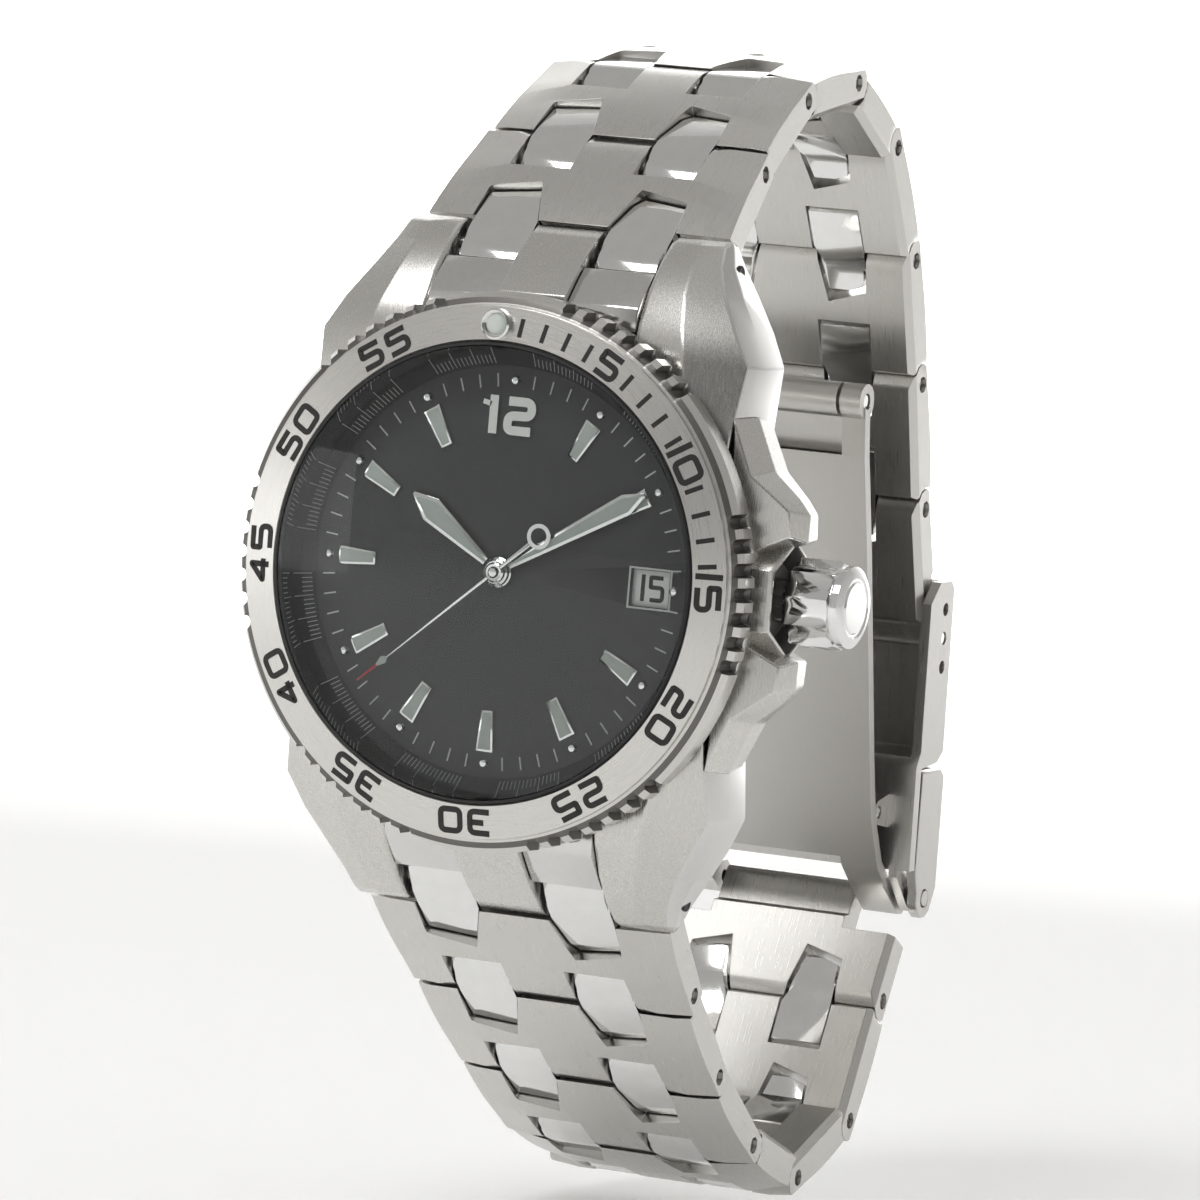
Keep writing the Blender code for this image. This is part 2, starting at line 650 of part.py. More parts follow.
def make_back(steel, rubber):
    profile = [(0, 0), (15.2, 0), (16.4, -0.5), (BACK_RADIUS, -0.9), (BACK_RADIUS, -1.65), (16.25, -1.65)]
    profile += [(16.25, -2.6), (15.1, -2.6), (15.1, -1.65), (0, -1.65)]
    back = turned("back_disc", profile)
    groove = turned("gasket_groove", [(16.6, -2.0), (17.25, -2.0), (17.25, -1.2), (16.6, -1.2)])
    combine(back, groove, "DIFFERENCE")
    finish(baked(back, "case_back"), steel)
    seal = [(16.68, -1.72), (17.17, -1.72), (17.17, -1.28), (16.68, -1.28)]
    finish(turned("case_back_gasket", seal, helper=False), rubber)
    tabs = turned("click_ring", [(17.9, -8.36), (18.9, -8.36), (18.9, -8.12), (17.9, -8.12)])
    finish(baked(tabs, "bezel_click_spring"), steel)


def make_crown(polished, steel):
    x0 = CROWN_START
    x1 = CROWN_START + CROWN_LENGTH
    tube = turned("crown_tube", [(0.75, 15.3), (1.6, 15.3), (1.6, 20.9), (0.75, 20.9)], 24, "X", helper=False)
    tube.location = (0, STEM_Y * MM, 0)
    finish(tube, steel)
    stem = rod("crown_stem", 0.45, 7.4, x0 + 1.6, (STEM_Y, 0), "X", 16, helper=False)
    finish(stem, steel)
    profile = [(0.62, x0), (CROWN_RADIUS - 0.3, x0), (CROWN_RADIUS, x0 + 0.3), (CROWN_RADIUS, x1 - 1.1)]
    profile += [(CROWN_RADIUS - 0.5, x1 - 0.75), (CROWN_RADIUS - 0.55, x1 - 0.25)]
    profile += [(CROWN_RADIUS - 0.9, x1), (0, x1)]
    profile += [(0, x0 + 2.0), (0.62, x0 + 2.0)]
    crown = turned("crown_blank", profile, 40, "X")
    for k in range(10):
        turn = 2 * math.pi * k / 10
        at = (CROWN_RADIUS + 0.55) * math.cos(turn), (CROWN_RADIUS + 0.55) * math.sin(turn)
        combine(crown, rod(f"flute_{k}", 0.85, x0 - 1, x1 - 1.0, at, "X", 8), "DIFFERENCE")
    crown.location = (0, STEM_Y * MM, 0)
    return finish(baked(crown, "crown"), polished)


def flat_plate(name, line, thick, half, helper=True):
    """A bent strip: a centre line in (y, z) given thickness by offsetting both ways, then width in X."""
    left = []
    right = []
    for k, (y, z) in enumerate(line):
        y0, z0 = line[max(k - 1, 0)]
        y1, z1 = line[min(k + 1, len(line) - 1)]
        length = math.hypot(y1 - y0, z1 - z0)
        ny = -(z1 - z0) / length * thick / 2
        nz = (y1 - y0) / length * thick / 2
        left.append((y + ny, z + nz))
        right.append((y - ny, z - nz))
    return slab(name, left + right[::-1], -half, half, "YZ", helper)


def make_clasp(satin, polished, steel, end_pin, link_pin):
    """Cover, two folding blades and the safety latch. end_pin is the spring bar, link_pin the lower end."""
    fold = (FOLD_Y, FOLD_Z)
    hinge = (COVER_HINGE_Y, COVER_HINGE_Z)
    w = COVER_HALF_WIDTH
    f = COVER_FACE
    # Cover: side outline of the outer walls in (s, n), hollowed from the inside.
    outer = [(COVER_TOP, -1.2), (COVER_TOP, 0.9), (COVER_TOP + 0.6, f), (COVER_STEP - 0.4, f)]
    outer += [(COVER_STEP + 0.4, 0.4)]
    outer += [(COVER_STEP + 0.7, -2.6), (COVER_END, -2.6), (COVER_END, -3.6), (COVER_STEP + 0.5, -3.6)]
    outer += [(COVER_STEP - 0.6, -2.9), (COVER_TOP + 1.6, -2.9)]
    cover = slab("cover_blank", outer, -w, w, "YZ")
    inside = [(COVER_TOP - 1, -4.5), (COVER_TOP - 1, f - COVER_WALL), (COVER_STEP - 0.6, f - COVER_WALL)]
    inside += [(COVER_STEP - 0.4, 0.2), (COVER_STEP - 0.2, -2.7), (COVER_STEP - 0.2, -4.5)]
    combine(cover, slab("cover_hollow", inside, -w + 0.75, w - 0.75, "YZ"), "DIFFERENCE")
    for k in (-1, 0, 1):
        hole = rod(f"adjust_{k}", 0.52, -w - 1, w + 1, (k * ADJUST_STEP, 0), "X", 12)
        combine(cover, hole, "DIFFERENCE")
    for label, flip in (("r", 1), ("l", -1)):
        ear = [(COVER_END - 1.2, -3.55), (COVER_END - 0.1, -3.0), (LATCH_S - 1.2, LATCH_N + 0.6)]
        ear += arc(LATCH_S, LATCH_N, 1.15, 140, -60, 7) + [(COVER_END + 0.6, -3.5)]
        lo, hi = sorted((9.25 * flip, 9.95 * flip))
        combine(cover, slab(f"ear_{label}", ear, lo, hi, "YZ"), "UNION")
        lo, hi = sorted((9.5 * flip, (w + 0.02) * flip))
        combine(cover, rod(f"trunnion_{label}", 0.6, lo, hi, (LATCH_S, LATCH_N), "X", 12), "UNION")
    cover = baked(cover, "clasp_cover_raw", True)
    turn = math.radians(COVER_ANGLE)
    d = (math.cos(turn), math.sin(turn))
    n = (-math.sin(turn), math.cos(turn))
    ry = hinge[0] - end_pin[0]
    rz = hinge[1] - end_pin[1]
    hs = ry * d[0] + rz * d[1]
    hn = ry * n[0] + rz * n[1]
    for label, flip in (("r", 1), ("l", -1)):
        lo, hi = sorted((7.5 * flip, 8.9 * flip))
        lug = [(hs - 1.4, -3.0)] + arc(hs, hn, 0.95, 190, 350, 5) + [(hs + 1.4, -3.0)]
        combine(cover, slab(f"hinge_lug_{label}", lug, lo, hi, "YZ"), "UNION")
    cover = baked(cover, "clasp_cover_lugs", True)
    combine(cover, rod("hinge_bore", 0.5, -10, 10, (hs, hn), "X", 12), "DIFFERENCE")
    cover = baked(cover, "clasp_cover")
    place_on_strap(cover, end_pin, COVER_ANGLE, 1)
    finish(cover, satin)
    # Latch: folds over the cover's lower half, turning on the trunnions.
    outline = [(10.3, -2.2), (10.3, 1.4), (10.9, 2.1), (19.6, 1.9)]
    outline += arc(LATCH_S, LATCH_N, 1.55, 75, -110, 7) + [(18.0, -2.3)]
    latch = slab("latch_blank", outline, -w, w, "YZ")
    hollow = [(9.5, -3.5), (9.5, 1.2), (10.6, 1.4), (17.9, 1.2), (17.9, 4), (23, 4), (23, -3.5)]
    combine(latch, slab("latch_hollow", hollow, -w + 0.85, w - 0.85, "YZ"), "DIFFERENCE")
    combine(latch, rod("latch_bore", 0.72, -w - 1, w + 1, (LATCH_S, LATCH_N), "X", 12), "DIFFERENCE")
    latch = baked(latch, "safety_latch")
    for vertex in latch.data.vertices:
        vertex.co.y -= LATCH_S * MM
        vertex.co.z -= LATCH_N * MM
    pivot = (end_pin[0] + LATCH_S * d[0] + LATCH_N * n[0], end_pin[1] + LATCH_S * d[1] + LATCH_N * n[1])
    place_on_strap(latch, pivot, COVER_ANGLE, 1)
    finish(latch, satin)
    bar = rod("clasp_spring_bar", 0.42, -w + 0.1, w - 0.1, (0, 0), "X", 12, helper=False)
    place_on_strap(bar, end_pin, COVER_ANGLE, 1)
    finish(bar, steel)
    pin = rod("cover_hinge_pin", 0.4, -8.8, 8.8, (0, 0), "X", 12, helper=False)
    place_on_strap(pin, hinge, COVER_ANGLE, 1)
    finish(pin, steel)
    pin = rod("fold_hinge_pin", 0.5, -8.9, 8.9, (0, 0), "X", 12, helper=False)
    place_on_strap(pin, fold, COVER_ANGLE, 1)
    finish(pin, steel)
    # Blade A: from the cover's hinge up to the fold hinge, the middle layer.
    line = [(hinge[0] - 0.1, hinge[1] + 0.4), (41.2, -10.0), (38.6, 0.0), (35.4, 9.0)]
    line += [(fold[0] + 0.2, fold[1] - 0.4)]
    blade = flat_plate("blade_a_blank", line, BLADE_THICK, 7.0)
    combine(blade, rod("barrel_a_low", 0.9, -7.0, 7.0, hinge, "X", 16), "UNION")
    combine(blade, rod("barrel_a_top", 1.35, -7.0, 7.0, fold, "X", 16), "UNION")
    blade = baked(blade, "blade_a_solid", True)
    combine(blade, rod("bore_a_low", 0.5, -9, 9, hinge, "X", 12), "DIFFERENCE")
    combine(blade, rod("bore_a_top", 0.62, -9, 9, fold, "X", 12), "DIFFERENCE")
    blade = baked(blade, "clasp_blade_a")
    move_origin(blade, hinge)
    finish(blade, satin)
    # Blade B: from the fold hinge down the inside to the lower bracelet, the inner layer.
    line = [(fold[0], fold[1] - 0.2), (34.2, 9.0), (36.2, 2.0), (38.2, -6.0), (40.2, -14.0)]
    line += [(41.6, -19.0), (43.6, -22.6), (45.6, -24.2)]
    blade = flat_plate("blade_b_blank", line, BLADE_THICK, 9.1)
    notch = slab("fold_notch", [(-7.2, 9.0), (7.2, 9.0), (7.2, 16), (-7.2, 16)], 25, 45, "XZ")
    combine(blade, notch, "DIFFERENCE")
    low = slab("knuckle_notch", [(-6.05, -22.2), (6.05, -22.2), (6.05, -30), (-6.05, -30)], 25, 55, "XZ")
    combine(blade, low, "DIFFERENCE")
    blade = baked(blade, "blade_b_strip", True)
    for label, flip in (("r", 1), ("l", -1)):
        lo, hi = sorted((7.3 * flip, 9.0 * flip))
        combine(blade, rod(f"barrel_b_{label}", 1.35, lo, hi, fold, "X", 16), "UNION")
        lo, hi = sorted((6.1 * flip, 9.0 * flip))
        ear = [(44.2, -23.2), (45.6, -23.6)] + arc(link_pin[0], link_pin[1], 1.3, 110, -110, 7)
        ear += [(44.9, -24.4)]
        combine(blade, slab(f"link_ear_{label}", ear, lo, hi, "YZ"), "UNION")
    blade = baked(blade, "blade_b_solid", True)
    combine(blade, rod("bore_b_top", 0.62, -10, 10, fold, "X", 12), "DIFFERENCE")
    combine(blade, rod("bore_b_low", 0.5, -10, 10, link_pin, "X", 12), "DIFFERENCE")
    blade = baked(blade, "clasp_blade_b")
    move_origin(blade, fold)
    finish(blade, satin)


def move_origin(obj, point):
    """Puts the object's origin on a hinge axis without moving its mesh."""
    shift = Vector((0, point[0], point[1])) * MM
    for vertex in obj.data.vertices:
        vertex.co -= shift
    obj.location = shift


def build():
    clear_scene()
    satin = material("satin_steel", (0.62, 0.61, 0.58), 1.0, 0.36)
    polished = material("polished_steel", (0.78, 0.78, 0.77), 1.0, 0.08)
    steel = material("brushed_steel", (0.66, 0.65, 0.62), 1.0, 0.3)
    dark = material("dial_black", (0.035, 0.035, 0.037), 0.0, 0.6)
    glass = material("crystal_glass", (0.95, 0.97, 1.0), 0.0, 0.03)
    glass.node_tree.nodes["Principled BSDF"].inputs["Transmission Weight"].default_value = 1.0
    lume = material("lume", (0.72, 0.78, 0.68), 0.0, 0.5)
    rubber = material("black_rubber", (0.02, 0.02, 0.02), 0.0, 0.7)
    plastic = material("dark_plastic", (0.05, 0.05, 0.055), 0.0, 0.5)
    white = material("white_print", (0.85, 0.85, 0.83), 0.0, 0.6)
    metal = material("movement_metal", (0.7, 0.62, 0.42), 1.0, 0.35)
    cell = material("battery_steel", (0.75, 0.75, 0.76), 1.0, 0.2)

    make_mid_case(satin)
    make_end_link("upper_end_link", 1, satin)
    make_end_link("lower_end_link", -1, satin)
    make_bezel(steel)
    make_pearl(lume)
    make_back(steel, rubber)
    make_dial(dark)
    crystal = make_inside(metal, plastic, white, cell, rubber)
    finish(crystal, glass)
    make_hands(polished)
    make_crown(polished, steel)

    upper = strap("upper", 1, UPPER_ANGLES, UPPER_HALF_WIDTHS, LAST_UPPER_PITCH, satin, polished)
    lower = strap("lower", -1, LOWER_ANGLES, LOWER_HALF_WIDTHS, LAST_LOWER_PITCH, satin, polished)
    make_clasp(satin, polished, steel, upper[-1], lower[-1])


build()
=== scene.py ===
"""Looks for the dive watch: steel, dial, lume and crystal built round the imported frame, in metres."""

import json
import math

import bmesh
import bpy
from mathutils import Matrix, Vector


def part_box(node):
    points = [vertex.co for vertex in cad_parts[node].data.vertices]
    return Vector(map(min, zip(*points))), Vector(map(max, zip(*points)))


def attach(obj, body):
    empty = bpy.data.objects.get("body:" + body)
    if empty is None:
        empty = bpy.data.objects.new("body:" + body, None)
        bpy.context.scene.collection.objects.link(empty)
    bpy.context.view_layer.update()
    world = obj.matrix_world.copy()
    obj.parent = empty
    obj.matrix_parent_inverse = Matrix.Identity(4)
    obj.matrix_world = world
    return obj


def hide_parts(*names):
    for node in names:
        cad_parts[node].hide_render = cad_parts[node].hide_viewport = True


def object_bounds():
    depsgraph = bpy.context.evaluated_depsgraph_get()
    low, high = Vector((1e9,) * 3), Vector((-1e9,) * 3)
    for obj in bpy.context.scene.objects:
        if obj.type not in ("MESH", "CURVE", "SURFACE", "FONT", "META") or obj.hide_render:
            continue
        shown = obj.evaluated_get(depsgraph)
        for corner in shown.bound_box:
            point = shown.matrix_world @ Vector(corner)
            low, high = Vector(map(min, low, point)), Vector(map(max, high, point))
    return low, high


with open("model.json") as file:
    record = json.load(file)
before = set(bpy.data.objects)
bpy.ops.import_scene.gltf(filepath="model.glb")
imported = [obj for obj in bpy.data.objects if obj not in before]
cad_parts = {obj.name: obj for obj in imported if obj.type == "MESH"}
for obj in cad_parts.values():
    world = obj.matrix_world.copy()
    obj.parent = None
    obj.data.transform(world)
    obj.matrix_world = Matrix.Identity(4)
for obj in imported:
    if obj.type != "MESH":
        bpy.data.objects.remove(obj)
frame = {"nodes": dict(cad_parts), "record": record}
start_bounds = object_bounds()

MM = 0.001

# Camera: where it looks from, in degrees, and how far, in metres.
AZIMUTH = 25.0
ELEVATION = 3.48
ROLL = 4.886
DISTANCE = 0.5681
LENS = 240.0
TARGET = Vector((0.0078, -0.0085, -0.0012))

# Studio: how bright the surroundings are below and above, and a darker side where the camera stands.
# The floor runs level to SWEEP_START, in metres, then curves up into a wall.
SWEEP_START = 1.5
SWEEP_RADIUS = 0.5
SWEEP_SIDE = 3.5
FLOOR_LEVEL = 0.68
CEILING_LEVEL = 0.42
DARK_AZIMUTH = 30.0
DARK_LEVEL = 0.3

# Watch head, in mm. y is negative towards the viewer.
BEZEL_TURN = -1.1
BEZEL_FRONT = -12.25
BEZEL_EDGE = -11.75
BEZEL_INNER = 16.46
BEZEL_STEP = 18.95
NUMERAL_RING = 17.72
DIAL_FACE = -8.95
DOT_RING = 13.73
BATON_NEAR = 9.9
BATON_FAR = 12.9
DATE_X = 11.8
STEM_Y = -4.6
HOUR_ANGLE = 304.9
MINUTE_ANGLE = 59.3
SECOND_ANGLE = 229.0
LINK_PITCH = 10.0

# The bezel's grip: rounded notches in groups, all in degrees.
GROUP_PITCH = 60
GROUP_START = 30
GROUP_REACH = 17.4
NOTCH_PITCH = 5
NOTCH_HALF = 1.5

# A link's outer face rises this far between its hinges, in mm.
LINK_RISE = 0.34

# Numerals on a grid one unit wide and high: each stroke's corners, with how far each is rounded, in mm.
# A closed stroke repeats its first point. "i" is a 1 with a flag.
TIGHT = 0.1
SOFT = 0.42
STROKES = {
    "0": [[(0.5, 0), (1, 0, SOFT), (1, 1, SOFT), (0, 1, SOFT), (0, 0, SOFT), (0.5, 0)]],
    "1": [[(0.5, 0), (0.5, 1)]],
    "i": [[(0.5, 0), (0.5, 1)], [(0.1, 0.8), (0.5, 0.97)]],
    "2": [[(0, 1), (1, 1, SOFT), (1, 0.52, SOFT), (0, 0.5, SOFT), (0, 0, TIGHT), (1, 0)]],
    "3": [[(0, 1), (1, 1, SOFT), (1, 0, SOFT), (0, 0)], [(0.3, 0.51), (0.96, 0.51)]],
    "4": [[(0.74, 0), (0.74, 1, TIGHT), (0, 0.32, TIGHT), (1, 0.32)]],
    "5": [[(1, 1), (0, 1, TIGHT), (0, 0.56, TIGHT), (1, 0.56, SOFT), (1, 0, SOFT), (0, 0)]],
}

looks = bpy.data.collections.new("looks")
bpy.context.scene.collection.children.link(looks)


# ---- materials ----

def material(name, colour, metallic, roughness):
    made = bpy.data.materials.new(name)
    made.use_nodes = True
    shader = made.node_tree.nodes["Principled BSDF"]
    shader.inputs["Base Color"].default_value = (*colour, 1)
    shader.inputs["Metallic"].default_value = metallic
    shader.inputs["Roughness"].default_value = roughness
    return made


def add_node(tree, kind, **values):
    node = tree.nodes.new(kind)
    for key, value in values.items():
        if key in node.inputs:
            node.inputs[key].default_value = value
        else:
            setattr(node, key, value)
    return node


def grained(name, colour, roughness, stretch, bump, spread=0.1, metallic=1.0, tint=0.05):
    """A surface with a stretched grain: its bump, roughness and shade all follow one noise."""
    made = material(name, colour, metallic, roughness)
    tree = made.node_tree
    shader = tree.nodes["Principled BSDF"]
    place = add_node(tree, "ShaderNodeTexCoord")
    scale = add_node(tree, "ShaderNodeMapping", Scale=stretch)
    noise = add_node(tree, "ShaderNodeTexNoise", Scale=1.0, Detail=4.0, Roughness=0.6)
    tree.links.new(place.outputs["Object"], scale.inputs["Vector"])
    tree.links.new(scale.outputs["Vector"], noise.inputs["Vector"])
    finish_grain(tree, shader, noise.outputs["Fac"], colour, roughness, bump, spread, tint)
    return made


def finish_grain(tree, shader, value, colour, roughness, bump, spread, tint):
    lift = add_node(tree, "ShaderNodeBump", Strength=bump, Distance=0.00002)
    tree.links.new(value, lift.inputs["Height"])
    tree.links.new(lift.outputs["Normal"], shader.inputs["Normal"])
    rough = add_node(tree, "ShaderNodeMapRange")
    rough.inputs["To Min"].default_value = roughness - spread
    rough.inputs["To Max"].default_value = roughness + spread
    tree.links.new(value, rough.inputs["Value"])
    tree.links.new(rough.outputs["Result"], shader.inputs["Roughness"])
    shade = add_node(tree, "ShaderNodeMix", data_type="RGBA")
    colours = [s for s in shade.inputs if s.type == "RGBA"]
    colours[0].default_value = (*[c * (1 - tint) for c in colour], 1)
    colours[1].default_value = (*[min(1, c * (1 + tint)) for c in colour], 1)
    tree.links.new(value, shade.inputs["Factor"])
    tree.links.new([s for s in shade.outputs if s.type == "RGBA"][0], shader.inputs["Base Color"])


def ring_grained(name, colour, roughness, bump):
    """Brushed in rings about the watch's axis: the grain depends on the radius much more than the angle."""
    made = material(name, colour, 1.0, roughness)
    tree = made.node_tree
    shader = tree.nodes["Principled BSDF"]
    place = add_node(tree, "ShaderNodeTexCoord")
    split = add_node(tree, "ShaderNodeSeparateXYZ")
    tree.links.new(place.outputs["Object"], split.inputs["Vector"])
    angle = add_node(tree, "ShaderNodeMath", operation="ARCTAN2")
    tree.links.new(split.outputs["X"], angle.inputs[0])
    tree.links.new(split.outputs["Z"], angle.inputs[1])
    square_x = add_node(tree, "ShaderNodeMath", operation="MULTIPLY")
    square_z = add_node(tree, "ShaderNodeMath", operation="MULTIPLY")
    for node, axis in ((square_x, "X"), (square_z, "Z")):
        tree.links.new(split.outputs[axis], node.inputs[0])
        tree.links.new(split.outputs[axis], node.inputs[1])
    total = add_node(tree, "ShaderNodeMath", operation="ADD")
    tree.links.new(square_x.outputs[0], total.inputs[0])
    tree.links.new(square_z.outputs[0], total.inputs[1])
    radius = add_node(tree, "ShaderNodeMath", operation="SQRT")
    tree.links.new(total.outputs[0], radius.inputs[0])
    polar = add_node(tree, "ShaderNodeCombineXYZ")
    tree.links.new(angle.outputs[0], polar.inputs["X"])
    tree.links.new(radius.outputs[0], polar.inputs["Y"])
    tree.links.new(split.outputs["Y"], polar.inputs["Z"])
    scale = add_node(tree, "ShaderNodeMapping", Scale=(5.0, 16000.0, 16000.0))
    tree.links.new(polar.outputs[0], scale.inputs["Vector"])
    noise = add_node(tree, "ShaderNodeTexNoise", Scale=1.0, Detail=4.0, Roughness=0.6)
    tree.links.new(scale.outputs["Vector"], noise.inputs["Vector"])
    finish_grain(tree, shader, noise.outputs["Fac"], colour, roughness, bump, 0.08, 0.07)
    return made


def clear_glass(name):
    """A thin crystal: mostly clear, with a reflection that grows towards grazing angles."""
    made = material(name, (1, 1, 1), 0.0, 0.02)
    tree = made.node_tree
    out = tree.nodes["Material Output"]
    tree.nodes["Principled BSDF"].inputs["Specular IOR Level"].default_value = 0.5
    clear = add_node(tree, "ShaderNodeBsdfTransparent")
    clear.inputs["Color"].default_value = (0.97, 0.98, 0.98, 1)
    gloss = add_node(tree, "ShaderNodeBsdfGlossy", Roughness=0.015)
    edge = add_node(tree, "ShaderNodeFresnel", IOR=1.4)
    mix = add_node(tree, "ShaderNodeMixShader")
    tree.links.new(edge.outputs[0], mix.inputs[0])
    tree.links.new(clear.outputs[0], mix.inputs[1])
    tree.links.new(gloss.outputs[0], mix.inputs[2])
    tree.links.new(mix.outputs[0], out.inputs["Surface"])
    return made


ALONG = (14000.0, 260.0, 14000.0)
SATIN = grained("satin_links", (0.63, 0.62, 0.595), 0.30, ALONG, 0.35)
SATIN_CASE = grained("satin_case", (0.64, 0.63, 0.605), 0.27, (12000.0, 12000.0, 260.0), 0.25)
BEVEL_STEEL = grained("polished_case", (0.68, 0.675, 0.66), 0.14, (2500.0, 2500.0, 400.0), 0.08, 0.05)
POLISH = grained("polished_links", (0.80, 0.80, 0.79), 0.085, (900.0, 900.0, 900.0), 0.05, 0.035)
POLISH_CROWN = grained("polished_crown", (0.82, 0.82, 0.815), 0.07, (700.0, 9000.0, 9000.0), 0.05, 0.03)
BEZEL_STEEL = ring_grained("ring_brushed_bezel", (0.66, 0.65, 0.625), 0.29, 0.4)
# Dark steel, painted as shade into the bezel notches' hollows and the crown seat's recess.
NOTCH_PAINTED_SHADE = grained("notch_painted_shade", (0.17, 0.165, 0.155), 0.4, (3000.0,) * 3, 0.2, 0.08)
CLASP_STEEL = grained("brushed_clasp", (0.60, 0.59, 0.57), 0.30, ALONG, 0.4)
BLADE_STEEL = grained("brushed_blades", (0.56, 0.55, 0.53), 0.33, ALONG, 0.45)
DIAL_PAINT = grained("dial_charcoal", (0.052, 0.052, 0.054), 0.6, (420.0,) * 3, 0.0, 0.03, 0.0, 0.035)
REHAUT_PAINT = grained("rehaut_black", (0.022, 0.022, 0.024), 0.42, (7000.0,) * 3, 0.1, 0.05, 0.0, 0.1)
LUME = grained("lume_fill", (0.60, 0.645, 0.605), 0.55, (12000.0,) * 3, 0.25, 0.08, 0.0, 0.06)
# Black for the bezel's engraved numerals and the date's print, and also painted shade: a black plug in each
# lug's pin hole.
BLACK_INK_AND_HOLE_SHADE = grained("engraved_black_and_hole_shade", (0.012, 0.011, 0.010), 0.5, (15000.0,) * 3, 0.3, 0.1, 0.0, 0.2)
INK_WHITE = grained("printed_white", (0.72, 0.73, 0.72), 0.5, (15000.0,) * 3, 0.1, 0.05, 0.0, 0.05)
DATE_WHITE = grained("date_disc_white", (0.94, 0.94, 0.92), 0.5, (8000.0,) * 3, 0.1, 0.05, 0.0, 0.04)
RED = grained("seconds_red", (0.55, 0.03, 0.025), 0.35, (12000.0,) * 3, 0.1, 0.06, 0.0, 0.1)
RUBBER = grained("black_seal", (0.015, 0.015, 0.016), 0.6, (9000.0,) * 3, 0.3, 0.1, 0.0, 0.2)
BRASSY = grained("movement_plating", (0.62, 0.54, 0.36), 0.34, (3000.0, 3000.0, 300.0), 0.3)
PLASTIC = grained("moulded_plastic", (0.04, 0.04, 0.045), 0.5, (5000.0,) * 3, 0.3, 0.1, 0.0, 0.15)
CRYSTAL = clear_glass("crystal_clear")


# ---- mesh helpers ----

def add_object(name, bm, surface, body, smooth=30):
    bmesh.ops.recalc_face_normals(bm, faces=bm.faces)
    mesh = bpy.data.meshes.new(name)
    bm.to_mesh(mesh)
    bm.free()
    mesh.shade_smooth()
    mesh.set_sharp_from_angle(angle=math.radians(smooth))
    obj = bpy.data.objects.new(name, mesh)
    looks.objects.link(obj)
    if surface:
        mesh.materials.append(surface)
    if body:
        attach(obj, body)
    return obj


def turned_mesh(profile, steps, axis="Y", shape=None):
    """A closed (radius, height) profile in mm turned about the axis.
    shape may change a point by its angle."""
    bm = bmesh.new()
    rings = []
    for step in range(steps):
        turn = 2 * math.pi * step / steps
        ring = []
        for k, (radius, height) in enumerate(profile):
            if shape:
                radius, height = shape(k, radius, height, math.degrees(turn))
            a = radius * math.sin(turn)
            b = radius * math.cos(turn)
            point = {"Y": (a, height, b), "X": (height, a, b)}[axis]
            ring.append(bm.verts.new(Vector(point) * MM))
        rings.append(ring)
    for step in range(steps):
        one = rings[step]
        two = rings[(step + 1) % steps]
        for k in range(len(profile)):
            nxt = (k + 1) % len(profile)
            bm.faces.new((one[k], one[nxt], two[nxt], two[k]))
    bmesh.ops.remove_doubles(bm, verts=bm.verts, dist=1e-7)
    return bm


def prism_mesh(outline, low, high, plane="XZ", bevel=0.0):
    """An outline in mm pushed from low to high along the plane's third axis, with its edges rounded."""
    place = {
        "XZ": lambda a, b, c: (a, c, b),
        "YZ": lambda a, b, c: (c, a, b),
        "XY": lambda a, b, c: (a, b, c),
    }[plane]
    made = bmesh.new()
    base = made.faces.new([made.verts.new(Vector(place(a, b, low)) * MM) for a, b in outline])
    pushed = bmesh.ops.extrude_face_region(made, geom=[base])
    lifted = [v for v in pushed["geom"] if isinstance(v, bmesh.types.BMVert)]
    bmesh.ops.translate(made, verts=lifted, vec=Vector(place(0, 0, high - low)) * MM)
    bmesh.ops.recalc_face_normals(made, faces=made.faces)
    if bevel:
        sharp = [e for e in made.edges if e.calc_face_angle(0) > 0.3]
        bmesh.ops.bevel(made, geom=sharp, offset=bevel * MM, segments=2, profile=0.5, affect="EDGES")
    return made


def merge(target, part, matrix):
    """Adds part to target, placed by the matrix."""
    bmesh.ops.transform(part, matrix=matrix, verts=part.verts)
    mesh = bpy.data.meshes.new("part")
    part.to_mesh(mesh)
    part.free()
    target.from_mesh(mesh)
    bpy.data.meshes.remove(mesh)


def arc(cx, cy, radius, start, end, count):
    turns = [math.radians(start + (end - start) * k / (count - 1)) for k in range(count)]
    return [(cx + radius * math.cos(t), cy + radius * math.sin(t)) for t in turns]


def clock(angle, radius, y):
    """A point in mm at a clock angle in degrees, clockwise from 12 as the dial is read."""
    turn = math.radians(angle)
    return Vector((radius * math.sin(turn), y, radius * math.cos(turn)))


def dial_frame(angle, radius, y, slope=0.0):
    """A frame on the dial side: local X clockwise, local Y outwards, local Z towards the viewer."""
    turn = math.radians(angle)
    tilt = math.radians(slope)
    right = Vector((math.cos(turn), 0, -math.sin(turn)))
    up = Vector((math.sin(turn) * math.cos(tilt), math.sin(tilt), math.cos(turn) * math.cos(tilt)))
    basis = Matrix((right, up, right.cross(up))).transposed().to_4x4()
    return Matrix.Translation(clock(angle, radius, y) * MM) @ basis


def rounded(points, scale, least):
    """The open path with its inner corners replaced by short arcs, of at least the given radius."""
    made = [Vector(points[0][:2])]
    for k in range(1, len(points) - 1):
        here = Vector(points[k][:2])
        before = Vector(points[k - 1][:2]) - here
        after = Vector(points[k + 1][:2]) - here
        radius = max(points[k][2] * scale, least)
        reach = min(radius, before.length * 0.5, after.length * 0.5)
        a = here + before.normalized() * reach
        b = here + after.normalized() * reach
        for j in range(7):
            t = j / 6
            made.append(a.lerp(here, t).lerp(here.lerp(b, t), t))
    made.append(Vector(points[-1][:2]))
    return made


